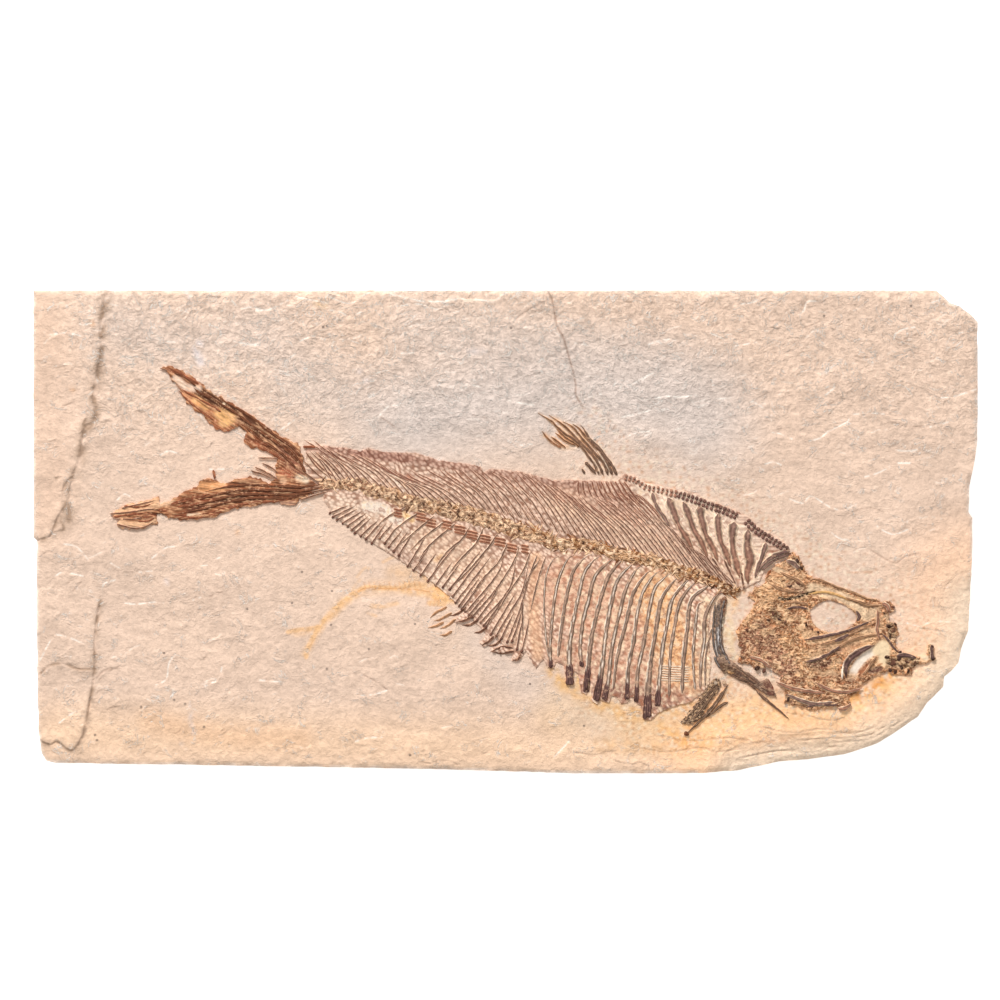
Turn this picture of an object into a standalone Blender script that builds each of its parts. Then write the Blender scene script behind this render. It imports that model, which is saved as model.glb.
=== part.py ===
"""Fossil fish slab: a plate of laminated limestone with one large herring-like fish on its upper
bedding face. The slab lies flat: +X runs from the tail to the head, +Y up across the plate, +Z out
of the fossil face, and the origin is under the middle of the underside.

Outlines and bone paths are laid out on a quarter-millimetre grid counted right and down over the
bedding face, the way a preparator maps a specimen, and place() turns grid steps into metres."""

import math
from collections import namedtuple

import bpy
from mathutils import Vector, noise
from mathutils.geometry import delaunay_2d_cdt, intersect_point_line

# ---- driving dimensions, in metres -------------------------------------------------------------
GRID = 0.00025              # one step of the measuring grid
SLAB_THICKNESS = 0.0100     # underside to bedding face
SLAB_MESH = 0.0078          # spacing of points on the open bedding face
SIDE_MESH = 0.0090          # longest straight run of the slab's rim
STONE_SWELL = 0.00035       # height of the slow waves on the bedding face
WAVE_LENGTH = 0.022         # and their size across
LEVEL_MARGIN = 0.001        # the face stays level this far round the fish
LEVEL_FADE = 0.010          # and reaches its full waves over this distance
FLAKE_STEP = 0.0006         # width of the little scarp round a split flake
RIM_CHIP = 0.0009           # how far the broken sides wander in and out
CHIP_LENGTH = 0.011         # and the size of one chip along the rim
CORNER_DROP = 0.0030        # how much the broken lower right rim has thinned
CORNER_WIDTH = 0.0140       # how far that thinning reaches inward
SEAT_GAP = 0.0003           # between the bedding face and every bone sheet
SHEET = 0.0004              # thickness of skin and flat bone
BONE_MESH = 0.0050          # spacing of points on flat skin
LUMP_SIZE = 0.0021          # size across of the lumps of crushed bone
WELD = 0.00003              # points nearer than this are one point

# ---- the measuring grid ------------------------------------------------------------------------
MIDDLE_COL, MIDDLE_ROW = 505.5, 531.75

# A ridge (or, with a negative height, a groove) along a path: half widths at its two ends, height.
Ridge = namedtuple("Ridge", "path start_width end_width height")
# A flake that has split off the bedding face: its border, and how deep the break goes.
Flake = namedtuple("Flake", "border depth")


def place(col, row):
    """A point of the grid, in metres on the bedding face."""
    return Vector(((col - MIDDLE_COL) * GRID, (MIDDLE_ROW - row) * GRID))


def route(cells):
    return [place(*cell) for cell in cells]


def ridge(cells, start_steps, end_steps, height):
    """A ridge whose half widths are given in grid steps."""
    return Ridge(route(cells), start_steps * GRID, end_steps * GRID, height)


# ---- plane geometry ----------------------------------------------------------------------------
def enclosed(point, edges):
    """Whether edges enclose a point: an odd number of them lies to its right."""
    odd = False
    for a, b in edges:
        if (a.y > point.y) != (b.y > point.y):
            if point.x < a.x + (point.y - a.y) / (b.y - a.y) * (b.x - a.x):
                odd = not odd
    return odd


def inside(point, border):
    return enclosed(point, zip(border, border[1:] + border[:1]))


def middle_of(points, face):
    return sum((points[k] for k in face), Vector((0.0, 0.0))) / len(face)


def near_path(point, path, closed=False):
    """Distance to the nearest point of a path, and how far along the path that point is, 0 to 1."""
    best, best_along = math.inf, 0.0
    runs = list(zip(path, path[1:])) + ([(path[-1], path[0])] if closed else [])
    for index, (a, b) in enumerate(runs):
        if (b - a).length < 1e-9:
            continue
        foot, share = intersect_point_line(point, a, b)
        share = min(max(share, 0.0), 1.0)
        distance = (point - a.lerp(b, share)).length
        if distance < best:
            best, best_along = distance, (index + share) / len(runs)
    return best, best_along


def subdivided(border, longest):
    """The closed border with extra points, so that no run is longer than `longest`."""
    points = []
    for a, b in zip(border, border[1:] + border[:1]):
        pieces = max(1, math.ceil((b - a).length / longest))
        points += [a.lerp(b, k / pieces) for k in range(pieces)]
    return points


def side_normals(path, closed=False):
    """Unit normals to the left of a path, one at each point."""
    normals = []
    for index in range(len(path)):
        before = path[index - 1] if index or closed else path[0]
        after = path[(index + 1) % len(path)] if closed or index + 1 < len(path) else path[-1]
        along = (after - before).normalized()
        normals.append(Vector((-along.y, along.x)))
    return normals


def ridge_foot(bone):
    """The closed line where a ridge meets the sheet it stands on."""
    count = len(bone.path)
    widths = [bone.start_width + (bone.end_width - bone.start_width) * k / (count - 1) for k in range(count)]
    normals = side_normals(bone.path)
    left = [p + n * w for p, n, w in zip(bone.path, normals, widths)]
    right = [p - n * w for p, n, w in zip(bone.path, normals, widths)]
    return left + right[::-1]


def ridge_height(point, bone):
    distance, along = near_path(point, bone.path)
    width = bone.start_width + (bone.end_width - bone.start_width) * along
    return bone.height * max(0.0, 1.0 - distance / width)


def open_grid(border, holes, lines, spacing):
    """Points of a triangular grid inside the border that keep clear of every line in it."""
    xs, ys = [p.x for p in border], [p.y for p in border]
    points, row, y = [], 0, min(ys) + spacing / 2
    while y < max(ys):
        x = min(xs) + spacing * (0.25 + 0.5 * (row % 2))
        while x < max(xs):
            point = Vector((x, y))
            free = inside(point, border) and not any(inside(point, hole) for hole in holes)
            if free and near_path(point, border, True)[0] > 0.45 * spacing:
                if all(near_path(point, line)[0] > 0.45 * spacing for line in lines):
                    points.append(point)
            x += spacing
        row, y = row + 1, y + spacing * math.sqrt(3) / 2
    return points


def triangulated(border, holes, closed_lines, open_lines, spacing):
    """Points and triangles of a flat sheet whose edges follow every line given."""
    points, edges = [], []

    def add(path, closed):
        first = len(points)
        points.extend(path)
        edges.extend((first + k, first + k + 1) for k in range(len(path) - 1))
        if closed:
            edges.append((first + len(path) - 1, first))

    loops = [border] + holes
    for loop in loops:
        add(loop, True)
    for line in closed_lines:
        add(line, True)
    for line in open_lines:
        add(line, False)
    lines = holes + closed_lines + open_lines
    points.extend(open_grid(border, holes, lines, spacing))
    flat, _, faces, *_ = delaunay_2d_cdt(points, edges, [], 0, WELD)
    kept = []
    for face in faces:
        middle = middle_of(flat, face)
        if inside(middle, border) and not any(inside(middle, hole) for hole in holes):
            kept.append(tuple(face))
    return flat, kept


def border_edges(faces):
    """The directed edges that belong to one triangle only."""
    directed = {(a, b) for f in faces for a, b in zip(f, f[1:] + f[:1])}
    return [(a, b) for a, b in directed if (b, a) not in directed]


# ---- solids ------------------------------------------------------------------------------------
def new_object(name, vertices, faces, material, collection):
    mesh = bpy.data.meshes.new(name)
    mesh.from_pydata(vertices, [], faces)
    mesh.materials.append(material)
    part = bpy.data.objects.new(name, mesh)
    collection.objects.link(part)
    return part


def closed_sheet(flat, faces, top, ring_heights, ring_shift):
    """Vertices and faces of a solid under a triangulated top. Its sides go down in rings, whose
    points move sideways by ring_shift, and the last ring is closed by a flat underside."""
    vertices = [Vector((p.x, p.y, top(p))) for p in flat]
    solid = list(faces)
    rim = border_edges(faces)
    ring = {a: a for a, _ in rim}
    for level, height in enumerate(ring_heights):
        lower = {}
        for a in ring:
            p = flat[a] + ring_shift(flat[a], level)
            lower[a] = len(vertices)
            vertices.append(Vector((p.x, p.y, height(vertices[a].z))))
        solid += [(ring[b], ring[a], lower[a], lower[b]) for a, b in rim]
        ring = lower
    index = {a: k for k, a in enumerate(ring)}
    base = [vertices[ring[a]].to_2d() for a in ring]
    edges = [(index[a], index[b]) for a, b in rim]
    _, _, caps, *_ = delaunay_2d_cdt(base, edges, [], 0, 1e-7)
    outline = [(base[a], base[b]) for a, b in edges]
    back = list(ring.values())
    for cap in caps:
        if enclosed(middle_of(base, cap), outline):
            solid.append(tuple(back[k] for k in reversed(cap)))
    return vertices, solid


def relief_piece(name, border, bones, material, collection, holes=(), rough=0.0, spacing=BONE_MESH):
    """A sheet of bone or skin just above the bedding face, with ridges fused on top of it."""
    border, holes = route(border), [route(hole) for hole in holes]
    feet = [ridge_foot(bone) for bone in bones]
    crests = [bone.path for bone in bones]
    flat, faces = triangulated(border, holes, feet, crests, spacing)
    seat = SLAB_THICKNESS + SEAT_GAP

    def top(point):
        lump = rough * abs(noise.noise(Vector((point.x, point.y, 0.0)) / LUMP_SIZE))
        raised = max((ridge_height(point, bone) for bone in bones), default=0.0)
        return seat + SHEET + lump + raised

    vertices, solid = closed_sheet(flat, faces, top, [lambda z: seat], lambda p, level: Vector((0, 0)))
    return new_object(name, vertices, solid, material, collection)


# ---- materials ---------------------------------------------------------------------------------
def material(name, colour, roughness):
    made = bpy.data.materials.new(name)
    made.use_nodes = True
    made.diffuse_color = (*colour, 1.0)
    shader = made.node_tree.nodes["Principled BSDF"]
    shader.inputs["Base Color"].default_value = (*colour, 1.0)
    shader.inputs["Roughness"].default_value = roughness
    shader.inputs["Metallic"].default_value = 0.0
    return made


# ---- the slab ----------------------------------------------------------------------------------
SLAB_ASPECT = 1.95          # length over width, for directions that point out of the rim
UNDERSIDE_LEVEL = 2         # the third ring of side points is the edge of the underside
SLAB_BORDER = [
    (33, 290), (937, 290), (950, 302), (960, 306), (972, 315), (978, 322), (978, 440), (975, 460),
    (970, 486), (969, 512), (973, 518), (973, 542), (971, 600), (969, 631), (962, 649), (959, 663),
    (952, 671), (945, 677), (944, 687), (937, 694), (928, 703), (919, 717), (900, 730), (878, 744),
    (845, 755), (808, 760), (780, 762), (738, 771), (700, 773.5), (573, 773.5), (460, 770), (310, 767),
    (118, 764), (55, 763), (46, 761), (41, 753), (38, 731), (36.5, 666), (36.5, 541), (33, 537),
]
BROKEN_RIM = [
    (971, 600), (969, 631), (959, 663), (945, 677), (944, 687), (919, 717), (878, 744), (845, 755),
    (780, 762), (738, 771),
]
STONE_CRACKS = [
    ridge([(107, 294), (103, 311), (101, 330), (103, 347), (99, 366), (94, 396), (92, 424), (83, 439),
           (80, 458), (70, 494), (69, 520), (59, 524), (48, 538), (40, 541)], 3, 3, -0.0007),
    ridge([(548, 293), (553, 303), (557, 326), (564, 340), (575, 380), (576, 395), (582, 406)], 2, 1.5,
          -0.0004),
    ridge([(97, 622), (95, 657), (94, 677), (90, 702), (81, 740), (71, 751), (57, 742), (41, 740)], 3, 3,
          -0.0007),
    ridge([(41, 676), (50, 666), (62, 664), (77, 669), (91, 669)], 2.5, 2.5, -0.0005),
]
STONE_FLAKES = [
    Flake(route([(322, 291), (352, 304), (368, 291)]), 0.0008),
    Flake(route([(374, 291), (404, 298), (431, 304), (454, 300), (495, 302), (510, 291)]), 0.0008),
    Flake(route([(238, 291), (240, 303), (258, 314), (283, 312), (300, 291)]), 0.0007),
    Flake(route([(800, 291), (801, 316), (812, 304), (816, 291)]), 0.0006),
]


def smooth(value):
    value = min(max(value, 0.0), 1.0)
    return value * value * (3.0 - 2.0 * value)


def stone_height(point, fish_borders, broken_rim):
    """Height of the bedding face: level under the fish, slow waves, splits and chips elsewhere."""
    if any(inside(point, border) for border in fish_borders):
        return SLAB_THICKNESS
    clear = min(near_path(point, border, True)[0] for border in fish_borders)
    away = smooth((clear - LEVEL_MARGIN) / LEVEL_FADE)
    wave = noise.noise(Vector((point.x, point.y * 1.4, 0.3)) / WAVE_LENGTH)
    height = STONE_SWELL * away * (wave - 0.3)
    height += min((ridge_height(point, crack) for crack in STONE_CRACKS), default=0.0)
    for flake in STONE_FLAKES:
        if inside(point, flake.border):
            height -= flake.depth * smooth(near_path(point, flake.border)[0] / FLAKE_STEP)
    thin = 1.0 - near_path(point, broken_rim)[0] / CORNER_WIDTH
    return SLAB_THICKNESS + height - CORNER_DROP * away * smooth(thin) ** 1.5


def shrunk(border, distance):
    """The border of a flake, moved inward."""
    normals = side_normals(border, True)
    turn = 1.0 if inside(border[1] + normals[1] * distance, border) else -1.0
    return [p + n * turn * distance for p, n in zip(border, normals)]


def build_slab(fish_borders, stone, collection):
    border = subdivided(route(SLAB_BORDER), SIDE_MESH)
    broken_rim = route(BROKEN_RIM)
    feet = [ridge_foot(crack) for crack in STONE_CRACKS]
    steps = [line for flake in STONE_FLAKES for line in (flake.border, shrunk(flake.border, FLAKE_STEP))]
    terrace = [place(col - 16, row - 14) for col, row in BROKEN_RIM]
    opened = [crack.path for crack in STONE_CRACKS] + [terrace]
    flat, faces = triangulated(border, [], feet + steps, opened, SLAB_MESH)

    def top(point):
        return stone_height(point, fish_borders, broken_rim)

    def chip(point, level):
        """The broken side: each layer stands a little further in or out than the one above."""
        wander = noise.noise(Vector((point.x, point.y, level * 5 * CHIP_LENGTH)) / CHIP_LENGTH)
        inward = RIM_CHIP * (0.9 + wander) if level < UNDERSIDE_LEVEL else 2.2 * RIM_CHIP
        return -Vector((point.x / SLAB_ASPECT, point.y)).normalized() * inward

    rings = [lambda z: z - 0.28 * SLAB_THICKNESS, lambda z: 0.30 * SLAB_THICKNESS, lambda z: 0.0]
    vertices, solid = closed_sheet(flat, faces, top, rings, chip)
    return new_object("limestone_slab", vertices, solid, stone, collection)


# ---- the body: skin, backbone, ribs, spines and scutes in one sheet -----------------------------
BODY_BORDER = [
    (306, 447), (319, 446), (346, 448), (360, 451), (369, 448), (383, 452), (416, 453), (437, 460),
    (467, 464), (481, 467), (484, 473), (490, 469), (520, 472), (543, 478), (555, 481), (573, 480),
    (590, 481), (618, 481), (624, 474), (635, 476), (646, 483), (657, 486), (683, 491), (700, 496),
    (710, 501), (721, 505), (736, 511), (748, 517), (761, 529), (776, 537), (790, 548), (784, 556),
    (774, 560), (764, 570), (760, 580), (748, 586), (740, 591), (720, 593), (715, 599), (709, 612),
    (708, 645), (711, 660), (709, 684), (704, 692), (697, 697), (690, 702), (680, 704), (666, 709),
    (658, 713), (650, 720), (645, 720), (640, 707), (622, 703), (604, 702), (596, 703), (586, 694),
    (570, 686), (566, 670), (552, 668), (541, 662), (536, 669), (526, 650), (519, 660), (512, 661),
    (514, 653), (492, 652), (491, 648), (506, 647), (496, 637), (484, 647), (480, 643), (488, 635),
    (472, 618), (456, 624), (454, 620), (466, 612), (456, 602), (442, 590), (428, 578), (400, 560),
    (373, 543), (361, 536), (347, 525), (332, 513), (324, 500), (322, 486), (310, 478), (307, 466),
]
BACKBONE = [
    (325, 484), (343, 485), (361, 485), (384, 493), (396, 497), (407, 503), (433, 507), (457, 513),
    (484, 519), (509, 527), (534, 535), (557, 542), (584, 545), (600, 549), (625, 558), (656, 563),
    (685, 573), (714, 582), (736, 590),
]
RIBS = [
    [(552, 561), (546, 576), (544, 601), (545, 626), (547, 660)],
    [(567, 560), (559, 578), (553, 610), (551, 664)],
    [(581, 561), (573, 572), (565, 600), (559, 657)],
    [(593, 561), (584, 573), (577, 605), (570, 680)],
    [(606, 564), (595, 576), (585, 611), (582, 670)],
    [(618, 564), (608, 577), (596, 617), (588, 689)],
    [(630, 566), (618, 579), (607, 628), (598, 698)],
    [(645, 575), (633, 594), (620, 640), (612, 696)],
    [(653, 576), (643, 592), (635, 628), (630, 698)],
    [(664, 578), (653, 593), (645, 636), (638, 700)],
    [(673, 582), (661, 600), (652, 650), (648, 716)],
    [(685, 583), (672, 600), (664, 640), (657, 704)],
    [(691, 586), (680, 602), (672, 640), (669, 702)],
    [(705, 588), (691, 600), (685, 640), (681, 698)],
    [(704, 606), (698, 640), (694, 692)],
]
HAEMAL_SPINES = [
    [(352, 490), (334, 504)], [(364, 493), (346, 512)], [(378, 497), (358, 522)],
    [(392, 502), (371, 531)], [(405, 508), (384, 541)], [(419, 512), (399, 550)],
    [(433, 514), (414, 561)], [(445, 520), (428, 570)], [(457, 524), (443, 582)],
    [(470, 527), (456, 592)], [(483, 530), (468, 604)], [(497, 535), (482, 615)],
    [(511, 540), (495, 626)], [(523, 545), (507, 638)], [(535, 550), (521, 646)],
]
NEURAL_SPINE_FEET = BACKBONE[2:-2]
NEURAL_SPINE_REACH = (-26, -29)
SUPRANEURALS = [
    [(652, 494), (657, 508), (671, 529)], [(668, 498), (675, 515), (690, 548)],
    [(683, 501), (691, 522), (704, 555)], [(699, 505), (703, 526), (715, 558)],
    [(717, 511), (719, 538), (726, 562)], [(734, 520), (733, 548), (736, 572)],
    [(747, 526), (748, 554), (745, 576)], [(765, 540), (759, 560), (750, 578)],
]
SCUTE_ROW = [
    (625, 479), (645, 488), (670, 493), (691, 498), (705, 503), (719, 509), (739, 517), (753, 526),
    (766, 536), (785, 547),
]
SCUTE_COUNT = 38
DORSAL_SUPPORTS = 9


def along(path, share):
    """The grid point at a share, 0 to 1, of a path's runs."""
    position = share * (len(path) - 1)
    index = min(int(position), len(path) - 2)
    (c0, r0), (c1, r1) = path[index], path[index + 1]
    t = position - index
    return c0 + (c1 - c0) * t, r0 + (r1 - r0) * t


def back_scutes():
    """Short studs side by side across the back line, in front of the dorsal fin."""
    studs = []
    for k in range(SCUTE_COUNT):
        col, row = along(SCUTE_ROW, (k + 0.5) / SCUTE_COUNT)
        studs.append(ridge([(col - 0.6, row + 2.4), (col + 0.6, row - 1.2)], 1.9, 1.5, 0.0007))
    return studs


def dorsal_supports():
    """A fan of thin bones under the foot of the dorsal fin."""
    fan = []
    for k in range(DORSAL_SUPPORTS):
        col = 579 + 5.0 * k
        fan.append(ridge([(col, 484), (col + 3 + 2.6 * k, 498 + 1.6 * k)], 1.1, 0.7, 0.0003))
    return fan


def neural_spines():
    """Thin spines that lean back from the backbone to the back line."""
    spines = []
    lean_col, lean_row = NEURAL_SPINE_REACH
    for k in range(2 * len(NEURAL_SPINE_FEET)):
        col, row = along(NEURAL_SPINE_FEET, k / (2 * len(NEURAL_SPINE_FEET) - 1))
        reach = 0.62 + 0.30 * min(1.0, max(0.0, (col - 360) / 260))
        tip = (col - 8 + lean_col * reach, row - 8 + lean_row * reach)
        spines.append(ridge([(col - 6, row - 8), tip], 1.2, 0.7, 0.0003))
    return spines


def build_body(skin, collection):
    bones = [ridge(BACKBONE, 3.0, 4.5, 0.0009)]
    bones += [ridge(rib, 1.5, 2.4, 0.0007) for rib in RIBS]
    bones += [ridge(spine, 1.3, 1.0, 0.0004) for spine in HAEMAL_SPINES]
    bones += [ridge(bone, 2.6, 1.8, 0.0006) for bone in SUPRANEURALS]
    bones += neural_spines() + dorsal_supports() + back_scutes()
    return relief_piece("body", BODY_BORDER, bones, skin, collection)


# ---- the head ------------------------------------------------------------------------------------
SKULL_BORDER = [
    (793, 552), (800, 558), (804, 568), (808, 575), (829, 584), (850, 592), (864, 598), (880, 601),
    (892, 602), (894, 611), (888, 613), (889, 621), (896, 623), (898, 634), (894, 641), (899, 652),
    (911, 655), (918, 657), (927, 655), (929, 645), (933, 645), (935, 660), (929, 663), (920, 664),
    (911, 669), (912, 674), (905, 676), (896, 674), (890, 682), (872, 694), (858, 700), (852, 709),
    (843, 711), (836, 706), (815, 710), (800, 707), (785, 702), (784, 692), (778, 674), (770, 667),
    (757, 669), (748, 664), (738, 661), (741, 650), (738, 640), (736, 631), (743, 620), (751, 611),
    (756, 601), (747, 597), (753, 590), (763, 584), (768, 573), (777, 564), (787, 559),
]
EYE_SOCKET = [
    (809, 612), (815, 605), (826, 600), (840, 603), (850, 608), (857, 615), (855, 624), (846, 630),
    (833, 633), (820, 630), (812, 622),
]
SKULL_BONES = [
    ([(779, 599), (795, 597), (808, 594)], 2.0, 1.5, 0.0006),
    ([(808, 579), (829, 588), (850, 596), (884, 606)], 1.8, 2.2, 0.0005),
    ([(806, 640), (829, 636), (848, 632), (868, 624), (884, 617)], 1.6, 1.2, 0.0007),
    ([(806, 661), (824, 655), (840, 647), (862, 637)], 2.4, 1.6, 0.0006),
    ([(847, 682), (848, 669), (857, 656), (872, 644)], 2.2, 1.6, 0.0008),
    ([(862, 674), (868, 664), (880, 653)], 2.4, 1.6, 0.0005),
    ([(892, 628), (893, 640)], 3.2, 2.6, 0.0008),
    ([(888, 665), (900, 662), (913, 661)], 4.5, 3.0, 0.0010),
    ([(931, 648), (932, 659)], 1.8, 1.8, 0.0008),
    ([(792, 703), (812, 706), (836, 701), (852, 695)], 2.6, 2.0, 0.0005),
    ([(752, 655), (764, 644), (771, 628), (773, 614)], 3.0, 2.4, 0.0006),
    ([(773, 576), (786, 574), (798, 578)], 3.4, 3.0, 0.0006),
]


def build_skull(bone, collection):
    bones = [ridge(*numbers) for numbers in SKULL_BONES]
    return relief_piece("skull", SKULL_BORDER, bones, bone, collection, [EYE_SOCKET], 0.0009, 0.0026)


GIRDLE_BORDER = [
    (720, 598), (727, 598), (725, 612), (723, 630), (724, 645), (729, 656), (735, 665), (750, 674),
    (762, 682), (775, 692), (774, 696), (765, 694), (775, 704), (789, 718), (787, 720), (770, 708),
    (757, 698), (745, 687), (736, 682), (726, 677), (718, 670), (715, 660), (713, 645), (712, 630),
    (713, 614), (717, 604),
]
GIRDLE_BONES = [
    ([(722, 601), (718, 616), (717, 640), (722, 658), (730, 669), (748, 679), (770, 691)], 2.2, 1.6, 0.0013),
    ([(757, 692), (771, 703), (785, 716)], 1.5, 0.7, 0.0006),
]


def build_girdle(bone, collection):
    bones = [ridge(*numbers) for numbers in GIRDLE_BONES]
    return relief_piece("shoulder_girdle", GIRDLE_BORDER, bones, bone, collection)


# ---- the fins --------------------------------------------------------------------------------------
PECTORAL_BORDER = [
    (715, 680), (724, 681), (730, 687), (724, 695), (732, 698), (731, 702), (722, 705), (712, 714),
    (700, 725), (690, 733), (685, 735), (683, 730), (690, 722), (684, 719), (692, 711), (702, 701),
    (711, 691),
]
PECTORAL_RAYS = [
    ([(719, 684), (711, 697), (698, 711), (688, 718)], 1.5, 1.0, 0.0007),
    ([(726, 688), (716, 702), (702, 716), (689, 729)], 1.5, 1.0, 0.0007),
]
DORSAL_BORDER = [
    (619, 478), (617, 470), (604, 454), (591, 438), (579, 424), (575, 426), (576, 432), (562, 421),
    (550, 411), (546, 414), (540, 411), (538, 415), (556, 428), (560, 432), (554, 431), (553, 434),
    (543, 431), (540, 434), (551, 441), (560, 448), (567, 449), (574, 445), (581, 453), (588, 463),
    (583, 464), (580, 468), (584, 475), (577, 476), (577, 478),
]
DORSAL_RAYS = [
    ([(612, 474), (600, 458), (586, 440), (579, 428)], 1.6, 0.9, 0.0006),
    ([(600, 474), (589, 457), (577, 442), (562, 426), (549, 414)], 1.6, 0.8, 0.0006),
    ([(574, 441), (557, 434)], 1.1, 0.7, 0.0005),
    ([(567, 446), (546, 434)], 1.1, 0.7, 0.0005),
    ([(570, 434), (542, 414)], 1.1, 0.7, 0.0005),
]
TAIL_BORDER = [
    (163, 368), (173, 367), (183, 371), (192, 377), (201, 384), (208, 391), (222, 398), (234, 405),
    (244, 413), (254, 415), (265, 425), (272, 430), (285, 438), (300, 446), (303, 455), (304, 468),
    (308, 479), (318, 484), (320, 488), (314, 494), (299, 499), (297, 504), (290, 506), (280, 503),
    (263, 503), (253, 506), (237, 508), (225, 512), (212, 518), (199, 519), (179, 520), (167, 518),
    (161, 512), (157, 514), (156, 523), (143, 528), (130, 530), (117, 526), (118, 519), (110, 514),
    (120, 508), (135, 503), (147, 500), (158, 498), (160, 505), (171, 501), (180, 495), (197, 487),
    (200, 481), (213, 479), (225, 484), (239, 479), (250, 477), (260, 479), (270, 482), (277, 478),
    (275, 466), (277, 457), (267, 451), (250, 448), (244, 441), (246, 432), (238, 426), (232, 430),
    (226, 432), (217, 430), (209, 423), (203, 415), (196, 411), (187, 403), (183, 395), (175, 384),
    (169, 375),
]
TAIL_RAYS = [
    ([(299, 452), (285, 443), (265, 430), (240, 415), (212, 397)], 2.2, 1.4, 0.0008),
    ([(294, 459), (270, 444), (246, 426), (222, 412), (190, 392)], 1.8, 1.0, 0.0006),
    ([(284, 459), (258, 444), (238, 424), (212, 416)], 1.6, 1.0, 0.0005),
    ([(196, 382), (182, 374), (168, 370)], 1.4, 0.8, 0.0005),
    ([(315, 487), (297, 489), (270, 487), (240, 485), (211, 489), (185, 499)], 1.8, 1.2, 0.0007),
    ([(308, 492), (285, 494), (250, 494), (215, 501), (188, 508), (168, 512)], 1.8, 1.2, 0.0007),
    ([(294, 500), (265, 499), (235, 503), (206, 513)], 1.6, 1.1, 0.0005),
    ([(155, 503), (136, 507), (117, 513)], 1.3, 0.8, 0.0004),
    ([(153, 517), (136, 522), (122, 524)], 1.3, 0.8, 0.0004),
    ([(291, 459), (293, 470), (302, 482)], 3.0, 2.6, 0.0006),
]


def build_fins(bone, tail, collection):
    relief_piece("pectoral_fin", PECTORAL_BORDER, [ridge(*n) for n in PECTORAL_RAYS], bone, collection)
    relief_piece("dorsal_fin", DORSAL_BORDER, [ridge(*n) for n in DORSAL_RAYS], bone, collection)
    relief_piece("tail_fin", TAIL_BORDER, [ridge(*n) for n in TAIL_RAYS], tail, collection)


# ---- the whole specimen ------------------------------------------------------------------------------
def clear_scene():
    for old in list(bpy.data.objects):
        bpy.data.objects.remove(old, do_unlink=True)


def build():
    clear_scene()
    collection = bpy.data.collections.new("fossil_fish_slab")
    bpy.context.scene.collection.children.link(collection)
    stone = material("limestone", (0.84, 0.63, 0.47), 0.88)
    skin = material("fish_skin", (0.42, 0.25, 0.17), 0.70)
    skull = material("skull_bone", (0.27, 0.16, 0.10), 0.65)
    girdle = material("dark_bone", (0.12, 0.10, 0.11), 0.55)
    fin = material("fin_bone", (0.20, 0.12, 0.08), 0.65)
    tail = material("tail_bone", (0.20, 0.09, 0.05), 0.65)
    borders = (BODY_BORDER, SKULL_BORDER, GIRDLE_BORDER, PECTORAL_BORDER, DORSAL_BORDER, TAIL_BORDER)
    build_slab([route(border) for border in borders], stone, collection)
    build_body(skin, collection)
    build_skull(skull, collection)
    build_girdle(girdle, collection)
    build_fins(fin, tail, collection)


build()
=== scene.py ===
# %% [markdown]
# # Dressing a fossil fish slab
#
# The construction is one limestone plate and six thin sheets of fossil bone that lie on it. This
# lesson gives each of them its fine surface: split stone, scaled skin, ribs, fin rays and the
# crushed head. The plain solids stay hidden underneath, and every new piece takes its place from
# them, so nothing has to be fitted afterwards.

# %% Load the frame
import math
import bpy
import numpy as np
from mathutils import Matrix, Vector, noise
from mathutils.geometry import delaunay_2d_cdt


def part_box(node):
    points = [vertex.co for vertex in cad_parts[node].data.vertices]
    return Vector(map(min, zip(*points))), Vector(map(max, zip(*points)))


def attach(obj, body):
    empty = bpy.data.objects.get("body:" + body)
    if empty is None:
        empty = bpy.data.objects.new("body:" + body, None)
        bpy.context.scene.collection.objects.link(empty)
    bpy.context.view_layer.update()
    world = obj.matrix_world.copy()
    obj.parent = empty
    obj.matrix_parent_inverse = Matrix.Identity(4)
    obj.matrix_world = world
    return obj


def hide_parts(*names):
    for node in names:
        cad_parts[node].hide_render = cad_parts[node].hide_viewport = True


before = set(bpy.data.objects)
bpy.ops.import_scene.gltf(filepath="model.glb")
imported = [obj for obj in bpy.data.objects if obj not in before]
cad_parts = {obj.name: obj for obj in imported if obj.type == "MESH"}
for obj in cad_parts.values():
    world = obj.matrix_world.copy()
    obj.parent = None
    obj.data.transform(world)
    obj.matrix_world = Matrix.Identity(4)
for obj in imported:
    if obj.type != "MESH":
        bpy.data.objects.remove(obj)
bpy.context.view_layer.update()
slab_low, slab_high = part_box("limestone_slab")
fish_low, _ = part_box("body")
print("slab, mm:", [round(1000 * side, 1) for side in slab_high - slab_low])

# %% [markdown]
# ## A measuring grid
#
# A preparator maps a specimen on a grid laid over the stone. Here the slab is 945 grid steps long,
# so one step follows from the slab's own length. A cell is written (steps right, steps down), and
# `spots` turns a list of cells into metres. Working in cells keeps every outline readable, and the
# whole fish would follow if the slab were made larger.

# %% Grid cells to metres
SLAB_COLS = (33.0, 978.0)
SLAB_ROWS = (290.0, 773.5)
STEP = (slab_high.x - slab_low.x) / (SLAB_COLS[1] - SLAB_COLS[0])
MM = 0.001
BED = fish_low.z - 0.3 * MM            # the bedding face, just under the bone sheets
GRID_MIDDLE = np.array([sum(SLAB_COLS) / 2, sum(SLAB_ROWS) / 2])


def spots(cells):
    """Grid cells as an array of points in metres."""
    return (np.array(cells, float).reshape(-1, 2) - GRID_MIDDLE) * (STEP, -STEP)


def cells_of(points):
    """The other way round: points in metres as grid cells."""
    return np.asarray(points)[:, :2] / (STEP, -STEP) + GRID_MIDDLE


print("one grid step, mm:", round(1000 * STEP, 4), " bedding face at mm:", round(1000 * BED, 2))

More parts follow.
